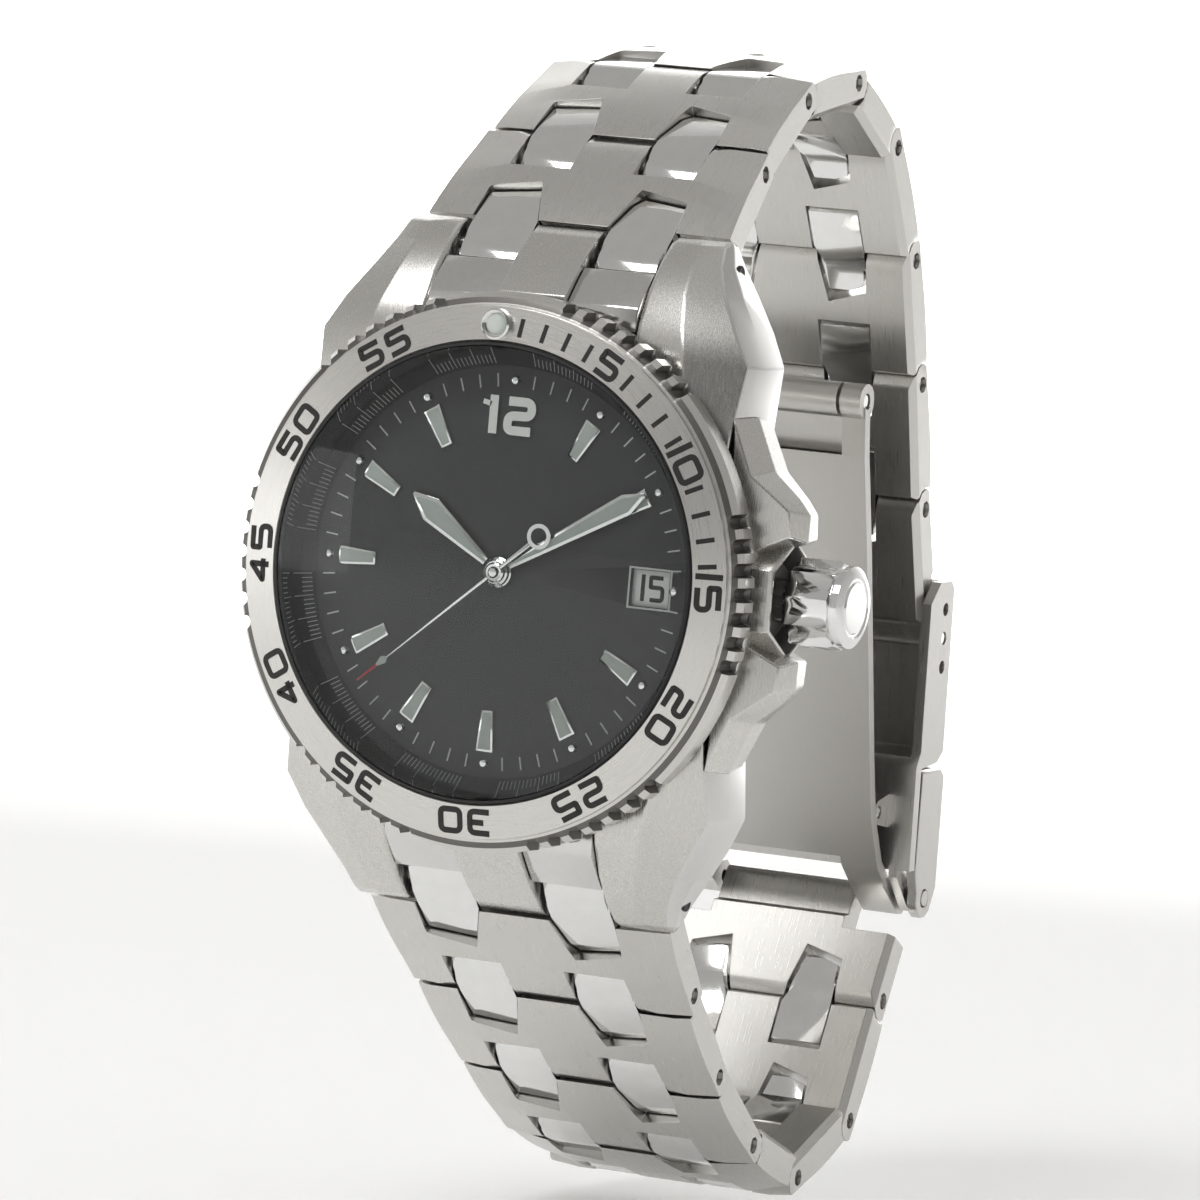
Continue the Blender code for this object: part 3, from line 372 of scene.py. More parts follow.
def stroke_mesh(path, width, thick, closed=False):
    """A flat ribbon of even width along a path in mm, as a closed solid with square ends."""
    bm = bmesh.new()
    half = width / 2
    rows = []
    count = len(path)
    for k, point in enumerate(path):
        ends = []
        if k or closed:
            ends.append((point - path[k - 1]).normalized())
        if k < count - 1 or closed:
            ends.append((path[(k + 1) % count] - point).normalized())
        along = (ends[0] + ends[-1]).normalized()
        mitre = min(1.6, 1 / max(0.3, along.dot(ends[0])))
        side = Vector((-along.y, along.x)) * half * mitre
        a = point + side
        b = point - side
        rows.append([bm.verts.new(Vector((q.x, q.y, z)) * MM) for q in (a, b) for z in (0, thick)])
    for k in range(count if closed else count - 1):
        a0, a1, b0, b1 = rows[k]
        c0, c1, d0, d1 = rows[(k + 1) % count]
        bm.faces.new((a1, b1, d1, c1))
        bm.faces.new((a0, c0, d0, b0))
        bm.faces.new((a0, a1, c1, c0))
        bm.faces.new((b0, d0, d1, b1))
    if not closed:
        for a0, a1, b0, b1 in (rows[0], rows[-1]):
            bm.faces.new((a0, b0, b1, a1))
    bmesh.ops.recalc_face_normals(bm, faces=bm.faces)
    return bm


def number(bm, text, matrix, width, height, gap, stroke, thick, scale=1.0, least=0.0):
    """Adds a number's strokes, centred on the matrix's origin."""
    widths = [stroke * (1.0 if c == "1" else 1.3) if c in "1i" else width for c in text]
    x = -(sum(widths) + gap * (len(text) - 1)) / 2
    for char, wide in zip(text, widths):
        inner_w = wide - stroke
        inner_h = height - stroke
        for path in STROKES[char]:
            reach = 0.5 * stroke if char in "1i" else 0
            points = []
            for px, py, *corner in path:
                across = x + stroke / 2 + px * inner_w
                up = py * inner_h - inner_h / 2
                if char in "1i" and py in (0, 1):
                    up += reach if py else -reach
                if char == "i" and py not in (0, 1):
                    across -= stroke * 0.75
                points.append((across, up, *corner))
            closed = path[0] == path[-1]
            line = rounded(points, scale, least)
            if closed:
                line = line[:-1]
            line = [p for k, p in enumerate(line) if k == 0 or (p - line[k - 1]).length > 1e-4]
            merge(bm, stroke_mesh(line, stroke, thick, closed), matrix.copy())
        x += wide + gap


def refined(node, surface, body, bevel, local=None, angle=38, arch=None, pillow=False):
    """The CAD node's shape with rounded, light-catching edges, in the local frame its grain runs along.
    arch is a pitch in mm: the outer face is crowned between its two hinges."""
    mesh = frame["nodes"][node].data.copy()
    mesh.transform(frame["nodes"][node].matrix_world)
    local = local or Matrix()
    mesh.transform(local.inverted())
    bm = bmesh.new()
    bm.from_mesh(mesh)
    bmesh.ops.remove_doubles(bm, verts=bm.verts, dist=2e-6)
    bmesh.ops.dissolve_limit(bm, angle_limit=math.radians(1.0), verts=bm.verts, edges=bm.edges)
    if arch:
        for k in range(1, 10):
            whole = bm.verts[:] + bm.edges[:] + bm.faces[:]
            cut = (0, arch * k / 10 * MM, 0)
            bmesh.ops.bisect_plane(bm, geom=whole, dist=1e-7, plane_co=cut, plane_no=(0, 1, 0))
        for vertex in bm.verts:
            along = vertex.co.y / MM / arch
            if vertex.co.z > 0.5 * MM and 0 < along < 1:
                vertex.co.z += LINK_RISE * MM * (1 - (2 * along - 1) ** 2)
    mesh.clear_geometry()
    bm.to_mesh(mesh)
    bm.free()
    mesh.shade_smooth()
    if pillow:
        mesh.set_sharp_from_angle(angle=math.radians(45))
    mesh.materials.clear()
    mesh.materials.append(surface)
    obj = bpy.data.objects.new(node + "_fine", mesh)
    obj.matrix_world = local
    looks.objects.link(obj)
    edge = obj.modifiers.new("edges", "BEVEL")
    edge.width = bevel * MM
    edge.segments = 3
    edge.limit_method = "ANGLE"
    edge.angle_limit = math.radians(angle)
    if not pillow:
        even = obj.modifiers.new("normals", "WEIGHTED_NORMAL")
        even.keep_sharp = False
    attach(obj, body)
    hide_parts(node)


# ---- bracelet ----

def joint(name):
    return next(j for j in frame["record"]["behaviour"]["joints"] if j["name"] == name)


def strap_frames(side, count):
    """Each link's frame from its own hinge and the next: local Y along the strap, local Z outwards."""
    names = [f"{side}_hinge_{k}" for k in range(1, count + 1)]
    pins = [Vector(joint(n)["pos_m"]) for n in names]
    if side == "upper":
        pins.append(Vector(joint("cover_swing")["pos_m"]))
    frames = []
    for k in range(count):
        along = (pins[k + 1] - pins[k]).normalized() if k + 1 < len(pins) else frames[-1].col[1].to_3d()
        across = Vector((1, 0, 0)) if side == "upper" else Vector((-1, 0, 0))
        out = across.cross(along)
        basis = Matrix((across, along, out)).transposed().to_4x4()
        frames.append(Matrix.Translation(pins[k]) @ basis)
    return frames


def build_strap(side, count):
    frames = strap_frames(side, count)
    for k in range(1, count + 1):
        pitch = None if k == count else LINK_PITCH
        refined(f"{side}_link_{k}", SATIN, f"{side}_{k}", 0.2, frames[k - 1], 38, pitch)
        carrier = k if k <= 4 else k - 1
        place = frames[carrier - 1]
        body = f"{side}_{carrier}"
        refined(f"{side}_connector_{k}", POLISH, body, 0.24, place, 42, None, True)


# ---- watch head ----

def bezel_shape(k, radius, height, angle):
    """Knurls the outer band: seven rounded notches in each of six groups."""
    if not 4 <= k <= 8:
        return radius, height
    group = (angle - GROUP_START) % GROUP_PITCH
    group = group - GROUP_PITCH if group > GROUP_PITCH / 2 else group
    if abs(group) > GROUP_REACH:
        return radius, height
    near = abs((group + NOTCH_PITCH / 2) % NOTCH_PITCH - NOTCH_PITCH / 2)
    depth = math.sqrt(max(0.0, 1 - (near / NOTCH_HALF) ** 2))
    cut = (0.0, 0.32, 0.78, 0.78, 0.3)[k - 4]
    return radius - cut * depth, height


def build_bezel():
    turn = Matrix.Rotation(math.radians(BEZEL_TURN), 4, "Y")
    profile = [
        (BEZEL_INNER, -12.14), (BEZEL_INNER + 0.12, BEZEL_FRONT), (BEZEL_STEP, BEZEL_EDGE),
        (BEZEL_STEP + 0.05, -11.45), (19.2, -11.4), (19.62, -11.22), (20.0, -10.75),
        (20.0, -9.3), (19.95, -9.1), (19.4, -8.5),
        (17.55, -8.5), (17.55, -11.72), (BEZEL_INNER, -11.78),
    ]
    ring = turned_mesh(profile, 720, "Y", bezel_shape)
    bezel = add_object("bezel_ring", ring, BEZEL_STEEL, None, 24)
    bezel.data.materials.append(NOTCH_PAINTED_SHADE)
    # Faces of the notched band between 19.1 and 19.72 mm from the axis, mostly the notches' hollows, take
    # the dark steel: painted shade.
    for face in bezel.data.polygons:
        radius = math.hypot(face.center.x, face.center.z) / MM
        shaded_notch = 19.1 < radius < 19.72 and -11.36 < face.center.y / MM < -8.7
        face.material_index = 1 if shaded_notch else 0
    bezel.matrix_world = turn
    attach(bezel, "bezel")
    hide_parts("bezel")
    slope = math.degrees(math.atan2(BEZEL_EDGE - BEZEL_FRONT, BEZEL_STEP - BEZEL_INNER - 0.12))
    face = BEZEL_FRONT + (NUMERAL_RING - BEZEL_INNER - 0.12) * math.tan(math.radians(slope))
    ink = bmesh.new()
    for minute in range(5, 60, 5):
        place = dial_frame(minute * 6, NUMERAL_RING, face + 0.015, slope)
        number(ink, str(minute), place, 1.95, 2.0, 0.36, 0.43, 0.03)
    for minute in range(1, 15):
        if minute % 5:
            place = dial_frame(minute * 6, NUMERAL_RING - 0.1, face, slope)
            bar = [Vector((0, -0.68)), Vector((0, 0.68))]
            merge(ink, stroke_mesh(bar, 0.34, 0.03), place)
    numerals = add_object("bezel_numerals", ink, BLACK_INK_AND_HOLE_SHADE, None)
    numerals.matrix_world = turn
    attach(numerals, "bezel")
    rim = [(0.0, 0.1), (1.12, 0.1), (1.12, -0.42), (0.98, -0.52), (0.86, -0.42), (0.86, -0.2), (0, -0.2)]
    cup = turned_mesh(rim, 48)
    drop = turned_mesh([(0, -0.5), (0.4, -0.46), (0.7, -0.34), (0.84, -0.1), (0.84, 0.05), (0, 0.05)], 48)
    at = clock(BEZEL_TURN, 17.72, -12.12) * MM
    for name, bm, surface, slot in (
        ("pearl_cup", cup, POLISH, "polished_steel"),
        ("pearl_lume", drop, LUME, "lume"),
    ):
        obj = add_object(name, bm, surface, None, 40)
        obj.location = at
        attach(obj, "bezel")
        if name == "pearl_lume":
            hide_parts("bezel_pearl")


def build_dial():
    disc = turned_mesh([(0, DIAL_FACE), (16.2, DIAL_FACE), (16.2, -8.6), (0, -8.6)], 256)
    dial = add_object("dial_plate", disc, DIAL_PAINT, None)
    window = [(DATE_X - 1.5, -1.3), (DATE_X + 1.5, -1.3), (DATE_X + 1.5, 1.3), (DATE_X - 1.5, 1.3)]
    cutter = add_object("window_cut", prism_mesh(window, -10, -7), None, None)
    cut = dial.modifiers.new("window", "BOOLEAN")
    cut.operation = "DIFFERENCE"
    cut.object = cutter
    bpy.context.view_layer.update()
    graph = bpy.context.evaluated_depsgraph_get()
    dial.data = bpy.data.meshes.new_from_object(dial.evaluated_get(graph))
    dial.modifiers.clear()
    bpy.data.objects.remove(cutter, do_unlink=True)
    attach(dial, "case")
    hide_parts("dial")

    trim = bmesh.new()
    lume = bmesh.new()
    ticks = bmesh.new()
    for hour in range(12):
        dot = turned_mesh([(0, -0.28), (0.24, -0.24), (0.37, -0.08), (0.37, 0.02), (0, 0.02)], 24)
        merge(trim, dot, Matrix.Translation(clock(hour * 30, DOT_RING, DIAL_FACE) * MM))
        if hour in (0, 3):
            continue
        place = dial_frame(hour * 30, 0, DIAL_FACE)
        outer = [(-0.47, BATON_NEAR), (0.47, BATON_NEAR), (0.7, BATON_FAR), (-0.7, BATON_FAR)]
        near = BATON_NEAR + 0.17
        far = BATON_FAR - 0.17
        inner = [(-0.31, near), (0.31, near), (0.51, far), (-0.51, far)]
        merge(trim, prism_mesh(outer, -0.02, 0.26, "XY", 0.06), place.copy())
        merge(lume, prism_mesh(inner, 0.2, 0.3, "XY", 0.03), place.copy())
    for minute in range(60):
        if minute % 5:
            place = dial_frame(minute * 6, 0, DIAL_FACE - 0.012)
            merge(ticks, stroke_mesh([Vector((0, 13.25)), Vector((0, 14.2))], 0.11, 0.02), place)
    upright = dial_frame(0, 0, 0)
    place = Matrix.Translation(Vector((0, DIAL_FACE, 11.2)) * MM) @ upright
    number(trim, "i2", place, 2.5, 2.75, 0.4, 0.66, 0.3, 1.4, 0.4)
    frame_line = [Vector(p) for p in ((-1.62, -1.42), (1.62, -1.42), (1.62, 1.42), (-1.62, 1.42))]
    border = Matrix.Translation(Vector((DATE_X, DIAL_FACE, 0)) * MM) @ upright
    merge(ticks, stroke_mesh(frame_line, 0.14, 0.04, True), border)
    for name, bm, surface, slot in (
        ("hour_markers", trim, POLISH, "polished_steel"),
        ("hour_marker_lume", lume, LUME, "lume"),
        ("minute_track", ticks, INK_WHITE, "white_print"),
    ):
        add_object(name, bm, surface, "case", 28)

    disc = turned_mesh([(9.4, -8.42), (14.3, -8.42), (14.3, -8.14), (9.4, -8.14)], 160)
    obj = add_object("date_ring", disc, DATE_WHITE, "date")
    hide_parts("date_disc")
    day = bmesh.new()
    place = Matrix.Translation(Vector((DATE_X, -8.43, 0)) * MM) @ upright
    number(day, "15", place, 1.25, 1.9, 0.3, 0.3, 0.02, 0.6)
    add_object("date_number", day, BLACK_INK_AND_HOLE_SHADE, "date")


def build_rehaut():
    inner, outer, low, high = 14.75, 16.3, -9.1, -10.35
    ring = turned_mesh([(inner, low), (outer, high), (16.45, high), (16.45, low)], 256)
    obj = add_object("rehaut_slope", ring, REHAUT_PAINT, "case", 24)
    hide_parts("rehaut_ring")
    slope = math.degrees(math.atan2(high - low, outer - inner))
    length = math.hypot(high - low, outer - inner)
    marks = bmesh.new()
    for hour in range(12):
        for step in range(16):
            minute = hour * 5 + 1 + step * 0.2
            reach = 0.82 if step % 5 == 0 else 0.5
            place = dial_frame(minute * 6, inner, low - 0.012, slope)
            path = [Vector((0, length * 0.12)), Vector((0, length * reach))]
            merge(marks, stroke_mesh(path, 0.055, 0.015), place)
    add_object("rehaut_marks", marks, INK_WHITE, "case")


def hand_parts(name, body, angle, y, outline, lume_outline, hub, thick=0.16):
    """A hand with a steel frame and a lume fill, turned about the watch's centre."""
    turn = Matrix.Rotation(math.radians(angle), 4, "Y")
    steel = prism_mesh(outline, y, y + thick, "XZ", 0.05)
    edge = y + thick
    cap = turned_mesh([(0.3, y), (hub - 0.12, y - 0.02), (hub, y + 0.04), (hub, edge), (0.3, edge)], 48)
    merge(steel, cap, Matrix())
    obj = add_object(name + "_steel", steel, POLISH, None, 28)
    obj.matrix_world = turn
    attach(obj, body)
    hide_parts(name)
    if lume_outline:
        lume = prism_mesh(lume_outline, y - 0.03, y + 0.05, "XZ", 0.02)
        fill = add_object(name + "_lume", lume, LUME, None)
        fill.matrix_world = turn
        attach(fill, body)
    return turn


def lance(near, wide, shoulder, tip, blunt, grow=0.0):
    """A lance outline: a narrow root, widest at the shoulder, then a blunt point."""
    return [
        (-near - grow, 1.2 - grow), (near + grow, 1.2 - grow), (wide + grow, shoulder),
        (blunt + grow, tip + grow), (-blunt - grow, tip + grow), (-wide - grow, shoulder),
    ]


def build_hands():
    blade = lance(0.32, 0.98, 6.9, 8.75, 0.16)
    fill = lance(0.12, 0.72, 6.8, 8.3, 0.1, -0.02)
    hand_parts("hour_hand", "hours", HOUR_ANGLE, -9.5, blade, fill, 1.1)
    blade = lance(0.3, 0.8, 11.4, 13.0, 0.14)
    fill = lance(0.1, 0.56, 11.3, 12.55, 0.08, -0.02)
    hand_parts("minute_hand", "minutes", MINUTE_ANGLE, -9.82, blade, fill, 0.95)
    y = -10.08
    needle = [(-0.16, -3.5), (0.16, -3.5), (0.13, 0), (0.06, 10.6), (-0.06, 10.6), (-0.13, 0)]
    turn = hand_parts("seconds_hand", "seconds", SECOND_ANGLE, y, needle, None, 0.72, 0.12)
    ring = turned_mesh([(0.62, y), (0.92, y), (0.92, y + 0.12), (0.62, y + 0.12)], 40)
    bmesh.ops.translate(ring, verts=ring.verts, vec=(0, 0, -4.4 * MM))
    tip = prism_mesh([(-0.1, 11.2), (0.1, 11.2), (0.06, 13.4), (-0.06, 13.4)], y - 0.01, y + 0.1)
    diamond = [(-0.06, 10.5), (0.06, 10.5), (0.3, 10.85), (0.08, 11.5), (-0.08, 11.5), (-0.3, 10.85)]
    lozenge = prism_mesh(diamond, y - 0.02, y + 0.1)
    for name, bm, surface, slot in (
        ("seconds_ring", ring, POLISH, "polished_steel"),
        ("seconds_tip", tip, RED, "white_print"),
        ("seconds_lozenge", lozenge, LUME, "lume"),
    ):
        obj = add_object(name, bm, surface, None, 28)
        obj.matrix_world = turn
        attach(obj, "seconds")
    post = turned_mesh([(0, -10.3), (0.3, -10.26), (0.42, -10.15), (0.42, -9.96), (0, -9.96)], 40)
    add_object("seconds_cap", post, POLISH, "seconds", 30)


def build_crystal():
    profile = [(0, -12.72), (15.65, -12.72), (15.95, -12.62), (16.12, -12.4), (16.12, -10.45), (0, -10.45)]
    glass = add_object("crystal_disc", turned_mesh(profile, 256), CRYSTAL, "case", 20)
    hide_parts("crystal")
    seal = [
        (16.15, -12.3), (16.2, -12.4), (16.36, -12.36), (16.44, -12.2),
        (16.44, -11.8), (16.52, -11.7), (16.52, -10.5), (16.17, -10.5),
    ]
    ring = add_object("crystal_seal", turned_mesh(seal, 256), RUBBER, "case", 30)
    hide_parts("crystal_gasket")


def build_crown():
    x0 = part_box("crown")[0][0] / MM
    x1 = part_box("crown")[1][0] / MM

    def flutes(k, radius, height, angle):
        if not 2 <= k <= 5:
            return radius, height
        hollow = abs(math.sin(math.radians(angle + 9) * 5)) ** 0.8
        return radius - (0.4 if k < 5 else 0.2) * hollow, height

    profile = [
        (0.5, x0 + 0.02), (2.7, x0 + 0.02), (3.1, x0 + 0.12), (3.25, x0 + 0.4), (3.25, x1 - 1.3),
        (3.12, x1 - 1.02), (2.78, x1 - 0.95), (2.78, x1 - 0.82), (2.95, x1 - 0.72), (2.92, x1 - 0.3),
        (2.6, x1 - 0.08), (2.2, x1 - 0.01), (2.08, x1 - 0.12), (1.9, x1 - 0.12), (1.78, x1),
        (0, x1 + 0.04), (0, x0 + 2.0), (0.5, x0 + 2.0),
    ]
    bm = turned_mesh(profile, 240, "X", flutes)
    crown = add_object("crown_fluted", bm, POLISH_CROWN, None, 35)
    crown.location = (0, STEM_Y * MM, 0)
    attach(crown, "crown")
    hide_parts("crown")


# One lug from the crown guards to its tip: z, then for each corner round the section its x and y.
# Corners: inner wall foot, inner top edge, crest, outer ridge, polished flank's lower edge, foot.
LUG_INNER = 8.35
LUG_SECTIONS = (
    (8.4, (8.35, -8.0), (14.0, -8.1), (16.2, -7.8), (16.8, -5.2), (16.6, -1.8)),
    (11.9, (8.35, -8.2), (13.2, -8.4), (16.5, -7.6), (17.35, -4.6), (17.0, -1.3)),
    (16.2, (8.35, -8.1), (12.6, -8.45), (16.9, -6.7), (17.3, -4.2), (16.8, 0.0)),
    (18.6, (8.35, -7.5), (12.0, -7.7), (15.5, -6.3), (16.05, -3.9), (15.6, 0.35)),
    (21.0, (8.35, -6.25), (11.4, -6.4), (14.0, -5.2), (14.6, -3.3), (14.2, 0.45)),
    (23.0, (8.35, -4.6), (11.0, -4.7), (13.0, -3.9), (13.4, -2.6), (13.1, 0.2)),
    (24.4, (8.35, -3.0), (10.8, -3.1), (12.6, -2.7), (12.95, -2.0), (12.7, -0.6)),
    (24.85, (8.35, -1.9), (10.8, -1.9), (12.4, -1.8), (12.7, -1.6), (12.5, -1.1)),
)


def lug_mesh(side_x, side_z):
    bm = bmesh.new()
    rings = []
    for z, *corners in LUG_SECTIONS:
        foot = corners[-1][1]
        top = corners[0][1]
        points = [(LUG_INNER, foot), (LUG_INNER, top + 0.25), (LUG_INNER + 0.28, top)] + corners[1:]
        rings.append([bm.verts.new(Vector((x * side_x, y, z * side_z)) * MM) for x, y in points])
    for one, two in zip(rings, rings[1:]):
        for k in range(len(one)):
            nxt = (k + 1) % len(one)
            bm.faces.new((one[k], one[nxt], two[nxt], two[k]))
    bm.faces.new(rings[0])
    bm.faces.new(rings[-1][::-1])
    bmesh.ops.recalc_face_normals(bm, faces=bm.faces)
    return bm


def guard_mesh(side_z):
    """A crown guard: an angular shoulder whose front slopes down from the bezel to the crown's recess."""
    front = [
        (16.6, -7.75, 12.6), (18.3, -7.7, 8.7), (20.4, -7.3, 7.1),
        (21.2, -7.0, 6.4), (21.4, -6.9, 4.6), (17.5, -7.9, 2.6),
    ]
    middle = [
        (17.3, -5.0, 12.8), (19.0, -5.0, 9.0), (21.0, -4.9, 7.3),
        (21.9, -4.8, 6.2), (21.9, -4.8, 4.2), (17.5, -5.0, 2.4),
    ]
    back = [
        (16.9, -1.9, 12.6), (18.7, -2.0, 8.9), (20.6, -2.2, 7.1),
        (21.4, -2.3, 6.1), (21.5, -2.3, 4.3), (17.5, -2.0, 2.6),
    ]
    bm = bmesh.new()
    rings = []
    for ring in (front, middle, back):
        rings.append([bm.verts.new(Vector((x, y, z * side_z)) * MM) for x, y, z in ring])
    for one, two in zip(rings, rings[1:]):
        for k in range(6):
            nxt = (k + 1) % 6
            bm.faces.new((one[k], one[nxt], two[nxt], two[k]))
    bm.faces.new(rings[0])
    bm.faces.new(rings[-1][::-1])
    bmesh.ops.recalc_face_normals(bm, faces=bm.faces)
    return bm


def bevelled(obj, width, angle):
    edge = obj.modifiers.new("edges", "BEVEL")
    edge.width = width * MM
    edge.segments = 2
    edge.limit_method = "ANGLE"
    edge.angle_limit = math.radians(angle)
    even = obj.modifiers.new("normals", "WEIGHTED_NORMAL")
    even.keep_sharp = False


def build_mid_case():
    profile = [
        (16.62, -8.2), (16.62, -11.6), (17.3, -11.6), (17.3, -8.1), (18.9, -8.05), (19.2, -7.8),
        (19.3, -7.4), (19.3, -3.8), (19.1, -3.2), (18.4, -1.9), (17.8, -1.8), (16.42, -1.8),
        (16.42, -2.8), (14.9, -2.8), (14.9, -8.2),
    ]
    ring = add_object("case_ring", turned_mesh(profile, 256), SATIN_CASE, "case", 30)
    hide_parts("mid_case")
    for side_x in (1, -1):
        for side_z in (1, -1):
            tag = ("right" if side_x > 0 else "left") + ("_upper" if side_z > 0 else "_lower")
            lug = add_object("lug_" + tag, lug_mesh(side_x, side_z), SATIN_CASE, "case", 24)
            lug.data.materials.append(BEVEL_STEEL)
            for face in lug.data.polygons:
                outward = face.normal.x * side_x
                low = face.center.y > -7.2 * MM
                beyond = abs(face.center.z) > 8.5 * MM
                face.material_index = 1 if outward > 0.72 and low and beyond else 0
            bevelled(lug, 0.16, 20)
            # Each lug's pin hole is a black plug, painted shade where the hole is.
            seat = [(0.0, 12.0), (0.62, 12.0), (0.62, 13.42), (0.5, 13.5), (0.0, 13.38)]
            pin_hole_shade_plug = turned_mesh([(r, h * side_x) for r, h in seat], 24, "X")
            bmesh.ops.translate(pin_hole_shade_plug, verts=pin_hole_shade_plug.verts, vec=Vector((0, -1.5, 22.6 * side_z)) * MM)
            add_object(f"lug_pin_hole_shade_{tag}", pin_hole_shade_plug, BLACK_INK_AND_HOLE_SHADE, "case", 30)
    for side_z in (1, -1):
        tag = "upper" if side_z > 0 else "lower"
        guard = add_object("crown_guard_" + tag, guard_mesh(side_z), SATIN_CASE, "case", 15)
        bevelled(guard, 0.14, 12)
    cup = [
        (1.7, 19.3), (3.3, 19.3), (3.9, 20.8), (4.05, 20.95),
        (4.3, 20.9), (4.4, 20.6), (4.4, 17.6), (1.7, 17.6),
    ]
    well = turned_mesh(cup, 6, "X")
    bmesh.ops.translate(well, verts=well.verts, vec=(0, STEM_Y * MM, 0))
    seat = add_object("crown_seat", well, SATIN_CASE, "case", 20)
    seat.data.materials.append(NOTCH_PAINTED_SHADE)
    # The recess faces deep in the crown seat take the dark steel: painted shade.
    for face in seat.data.polygons:
        off_axis = math.hypot(face.center.y - STEM_Y * MM, face.center.z)
        face.material_index = 1 if off_axis < 3.6 * MM and face.center.x > 19 * MM else 0
    bevelled(seat, 0.06, 30)
    for side_z in (1, -1):
        tag = "upper" if side_z > 0 else "lower"
        outline = [(-7.5, 17.9), (-7.35, 19.6), (-5.95, 21.2), (-5.0, 22.15)]
        outline += arc(-1.5, 23.0, 3.45, 196, 250, 7) + [(-2.7, 17.9)]
        for side_x, low, high in (("right", 2.72, 8.3), ("left", -8.3, -2.72)):
            step = prism_mesh([(y, z * side_z) for y, z in outline], low, high, "YZ", 0.12)
            add_object(f"end_step_{tag}_{side_x}", step, BEVEL_STEEL, "case", 24)


def build_head_steel():
    build_mid_case()
    for end in ("upper_end_link", "lower_end_link"):
        refined(end, SATIN_CASE, "case", 0.35, None, 30)
    refined("case_back", SATIN_CASE, "case", 0.12)


def build_clasp():
    turn = joint("cover_swing")["pos_m"]
    low = joint("latch_open")["pos_m"]
    along = (Vector(low) - Vector(turn)).normalized()
    across = Vector((1, 0, 0))
    basis = Matrix((across, along, across.cross(along))).transposed().to_4x4()
    local = Matrix.Translation(turn) @ basis
    refined("clasp_cover", CLASP_STEEL, "cover", 0.14, local)
    refined("safety_latch", CLASP_STEEL, "latch", 0.16, local)
    fold = Vector(joint("blade_b_fold")["pos_m"])
    hinge = Vector(joint("blade_a_fold")["pos_m"])
    along = (hinge - fold).normalized()
    basis = Matrix((across, along, across.cross(along))).transposed().to_4x4()
    local = Matrix.Translation(fold) @ basis
    refined("clasp_blade_a", BLADE_STEEL, "blade_a", 0.12, local)
    refined("clasp_blade_b", BLADE_STEEL, "blade_b", 0.12, local)


def paint_cad():
    """The nodes that stay as the CAD made them take a finish of their own."""
    finishes = {
        "case_back_gasket": RUBBER, "movement": BRASSY, "movement_holder": PLASTIC, "battery": POLISH,
        "crown_tube": POLISH, "crown_stem": POLISH, "bezel_click_spring": SATIN_CASE,
        "clasp_spring_bar": POLISH, "cover_hinge_pin": POLISH, "fold_hinge_pin": POLISH,
    }
    for node, surface in finishes.items():
        obj = frame["nodes"][node]
        obj.data.materials.clear()
        obj.data.materials.append(surface)


# ---- studio ----

def area(name, position, aim, size, power, tall=None):
    light = bpy.data.lights.new(name, "AREA")
    light.shape = "RECTANGLE"
    light.size = size
    light.size_y = tall or size
    light.energy = power
    obj = bpy.data.objects.new(name, light)
    obj.location = position
    obj.rotation_euler = (Vector(position) - Vector(aim)).to_track_quat("Z", "Y").to_euler()
    bpy.context.scene.collection.objects.link(obj)


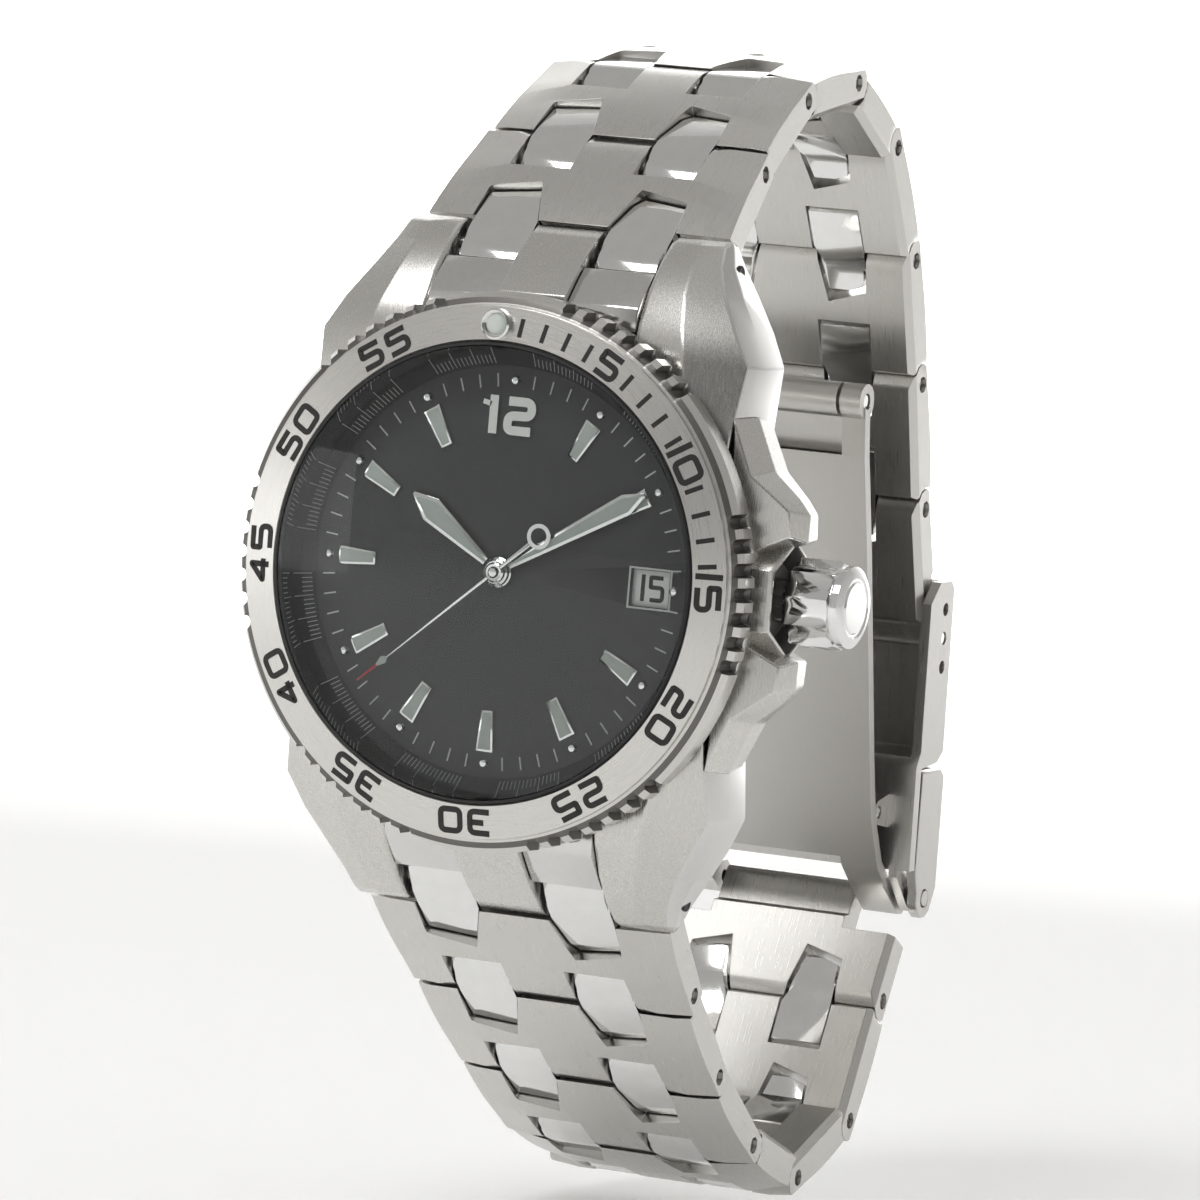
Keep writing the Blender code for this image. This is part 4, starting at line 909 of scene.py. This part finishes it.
def build_studio():
    low = start_bounds[0][2] - 0.002
    bm = bmesh.new()
    profile = [(-3.2, low), (SWEEP_START, low)]
    for degrees in range(10, 91, 10):
        turn = math.radians(degrees)
        out = SWEEP_START + SWEEP_RADIUS * math.sin(turn)
        profile.append((out, low + SWEEP_RADIUS - SWEEP_RADIUS * math.cos(turn)))
    profile.append((SWEEP_START + SWEEP_RADIUS, low + 3.2))
    rows = [[bm.verts.new((x, y, z)) for x in (-SWEEP_SIDE, SWEEP_SIDE)] for y, z in profile]
    for one, two in zip(rows, rows[1:]):
        bm.faces.new((one[0], one[1], two[1], two[0]))
    sweep = add_object("studio_sweep", bm, None, None, 60)
    surface = grained("sweep_paper", (0.90, 0.90, 0.895), 0.9, (60.0,) * 3, 0.02, 0.03, 0.0, 0.01)
    sweep.data.materials.append(surface)
    paper = surface.node_tree.nodes["Principled BSDF"]
    paper.inputs["Emission Color"].default_value = (1, 1, 1, 1)
    paper.inputs["Emission Strength"].default_value = 0.14
    sweep.rotation_euler = (0, 0, math.radians(AZIMUTH))

    world = bpy.data.worlds.new("studio")
    bpy.context.scene.world = world
    world.use_nodes = True
    tree = world.node_tree
    background = tree.nodes["Background"]
    place = add_node(tree, "ShaderNodeTexCoord")
    split = add_node(tree, "ShaderNodeSeparateXYZ")
    tree.links.new(place.outputs["Generated"], split.inputs[0])
    height = add_node(tree, "ShaderNodeMapRange", interpolation_type="SMOOTHSTEP")
    height.inputs["From Min"].default_value = -0.7
    height.inputs["From Max"].default_value = 0.9
    height.inputs["To Min"].default_value = FLOOR_LEVEL
    height.inputs["To Max"].default_value = CEILING_LEVEL
    tree.links.new(split.outputs["Z"], height.inputs["Value"])
    dark = add_node(tree, "ShaderNodeVectorMath", operation="DOT_PRODUCT")
    turn = math.radians(DARK_AZIMUTH)
    dark.inputs[1].default_value = (math.sin(turn), -math.cos(turn), 0.05)
    tree.links.new(place.outputs["Generated"], dark.inputs[0])
    fade = add_node(tree, "ShaderNodeMapRange", interpolation_type="SMOOTHSTEP")
    fade.inputs["From Min"].default_value = 0.62
    fade.inputs["From Max"].default_value = 0.96
    fade.inputs["To Min"].default_value = 1.0
    fade.inputs["To Max"].default_value = DARK_LEVEL
    tree.links.new(dark.outputs["Value"], fade.inputs["Value"])
    level = add_node(tree, "ShaderNodeMath", operation="MULTIPLY")
    tree.links.new(height.outputs["Result"], level.inputs[0])
    tree.links.new(fade.outputs["Result"], level.inputs[1])
    tree.links.new(level.outputs[0], background.inputs["Strength"])
    background.inputs["Color"].default_value = (1.0, 0.985, 0.955, 1)

    area("key", (-0.15, -0.6, 0.7), (0, 0, 0), 0.35, 3.0)
    area("top", (0.15, 0.25, 0.95), (0, 0.02, 0), 0.6, 0.3)
    area("low", (-0.5, -0.35, -0.04), (0, 0, -0.03), 0.35, 0.3, 0.2)
    area("backdrop", (-0.35, 0.78, 0.9), (-0.85, 1.82, 0.2), 0.9, 45)


def build_camera():
    data = bpy.data.cameras.new("view")
    data.lens = LENS
    data.sensor_width = 36.0
    data.dof.use_dof = False
    camera = bpy.data.objects.new("view", data)
    bpy.context.scene.collection.objects.link(camera)
    az = math.radians(AZIMUTH)
    el = math.radians(ELEVATION)
    back = Vector((math.sin(az) * math.cos(el), -math.cos(az) * math.cos(el), math.sin(el)))
    right = Vector((math.cos(az), math.sin(az), 0))
    up = back.cross(right)
    level = Matrix((right, up, back)).transposed()
    roll = Matrix.Rotation(math.radians(ROLL), 3, "Z")
    camera.matrix_world = Matrix.Translation(TARGET + back * DISTANCE) @ (level @ roll).to_4x4()
    bpy.context.scene.camera = camera


build_strap("upper", 8)
build_strap("lower", 7)
build_head_steel()
build_bezel()
build_dial()
build_rehaut()
build_hands()
build_crystal()
build_crown()
build_clasp()
paint_cad()
build_studio()
build_camera()
bpy.context.scene.view_settings.view_transform = "Standard"
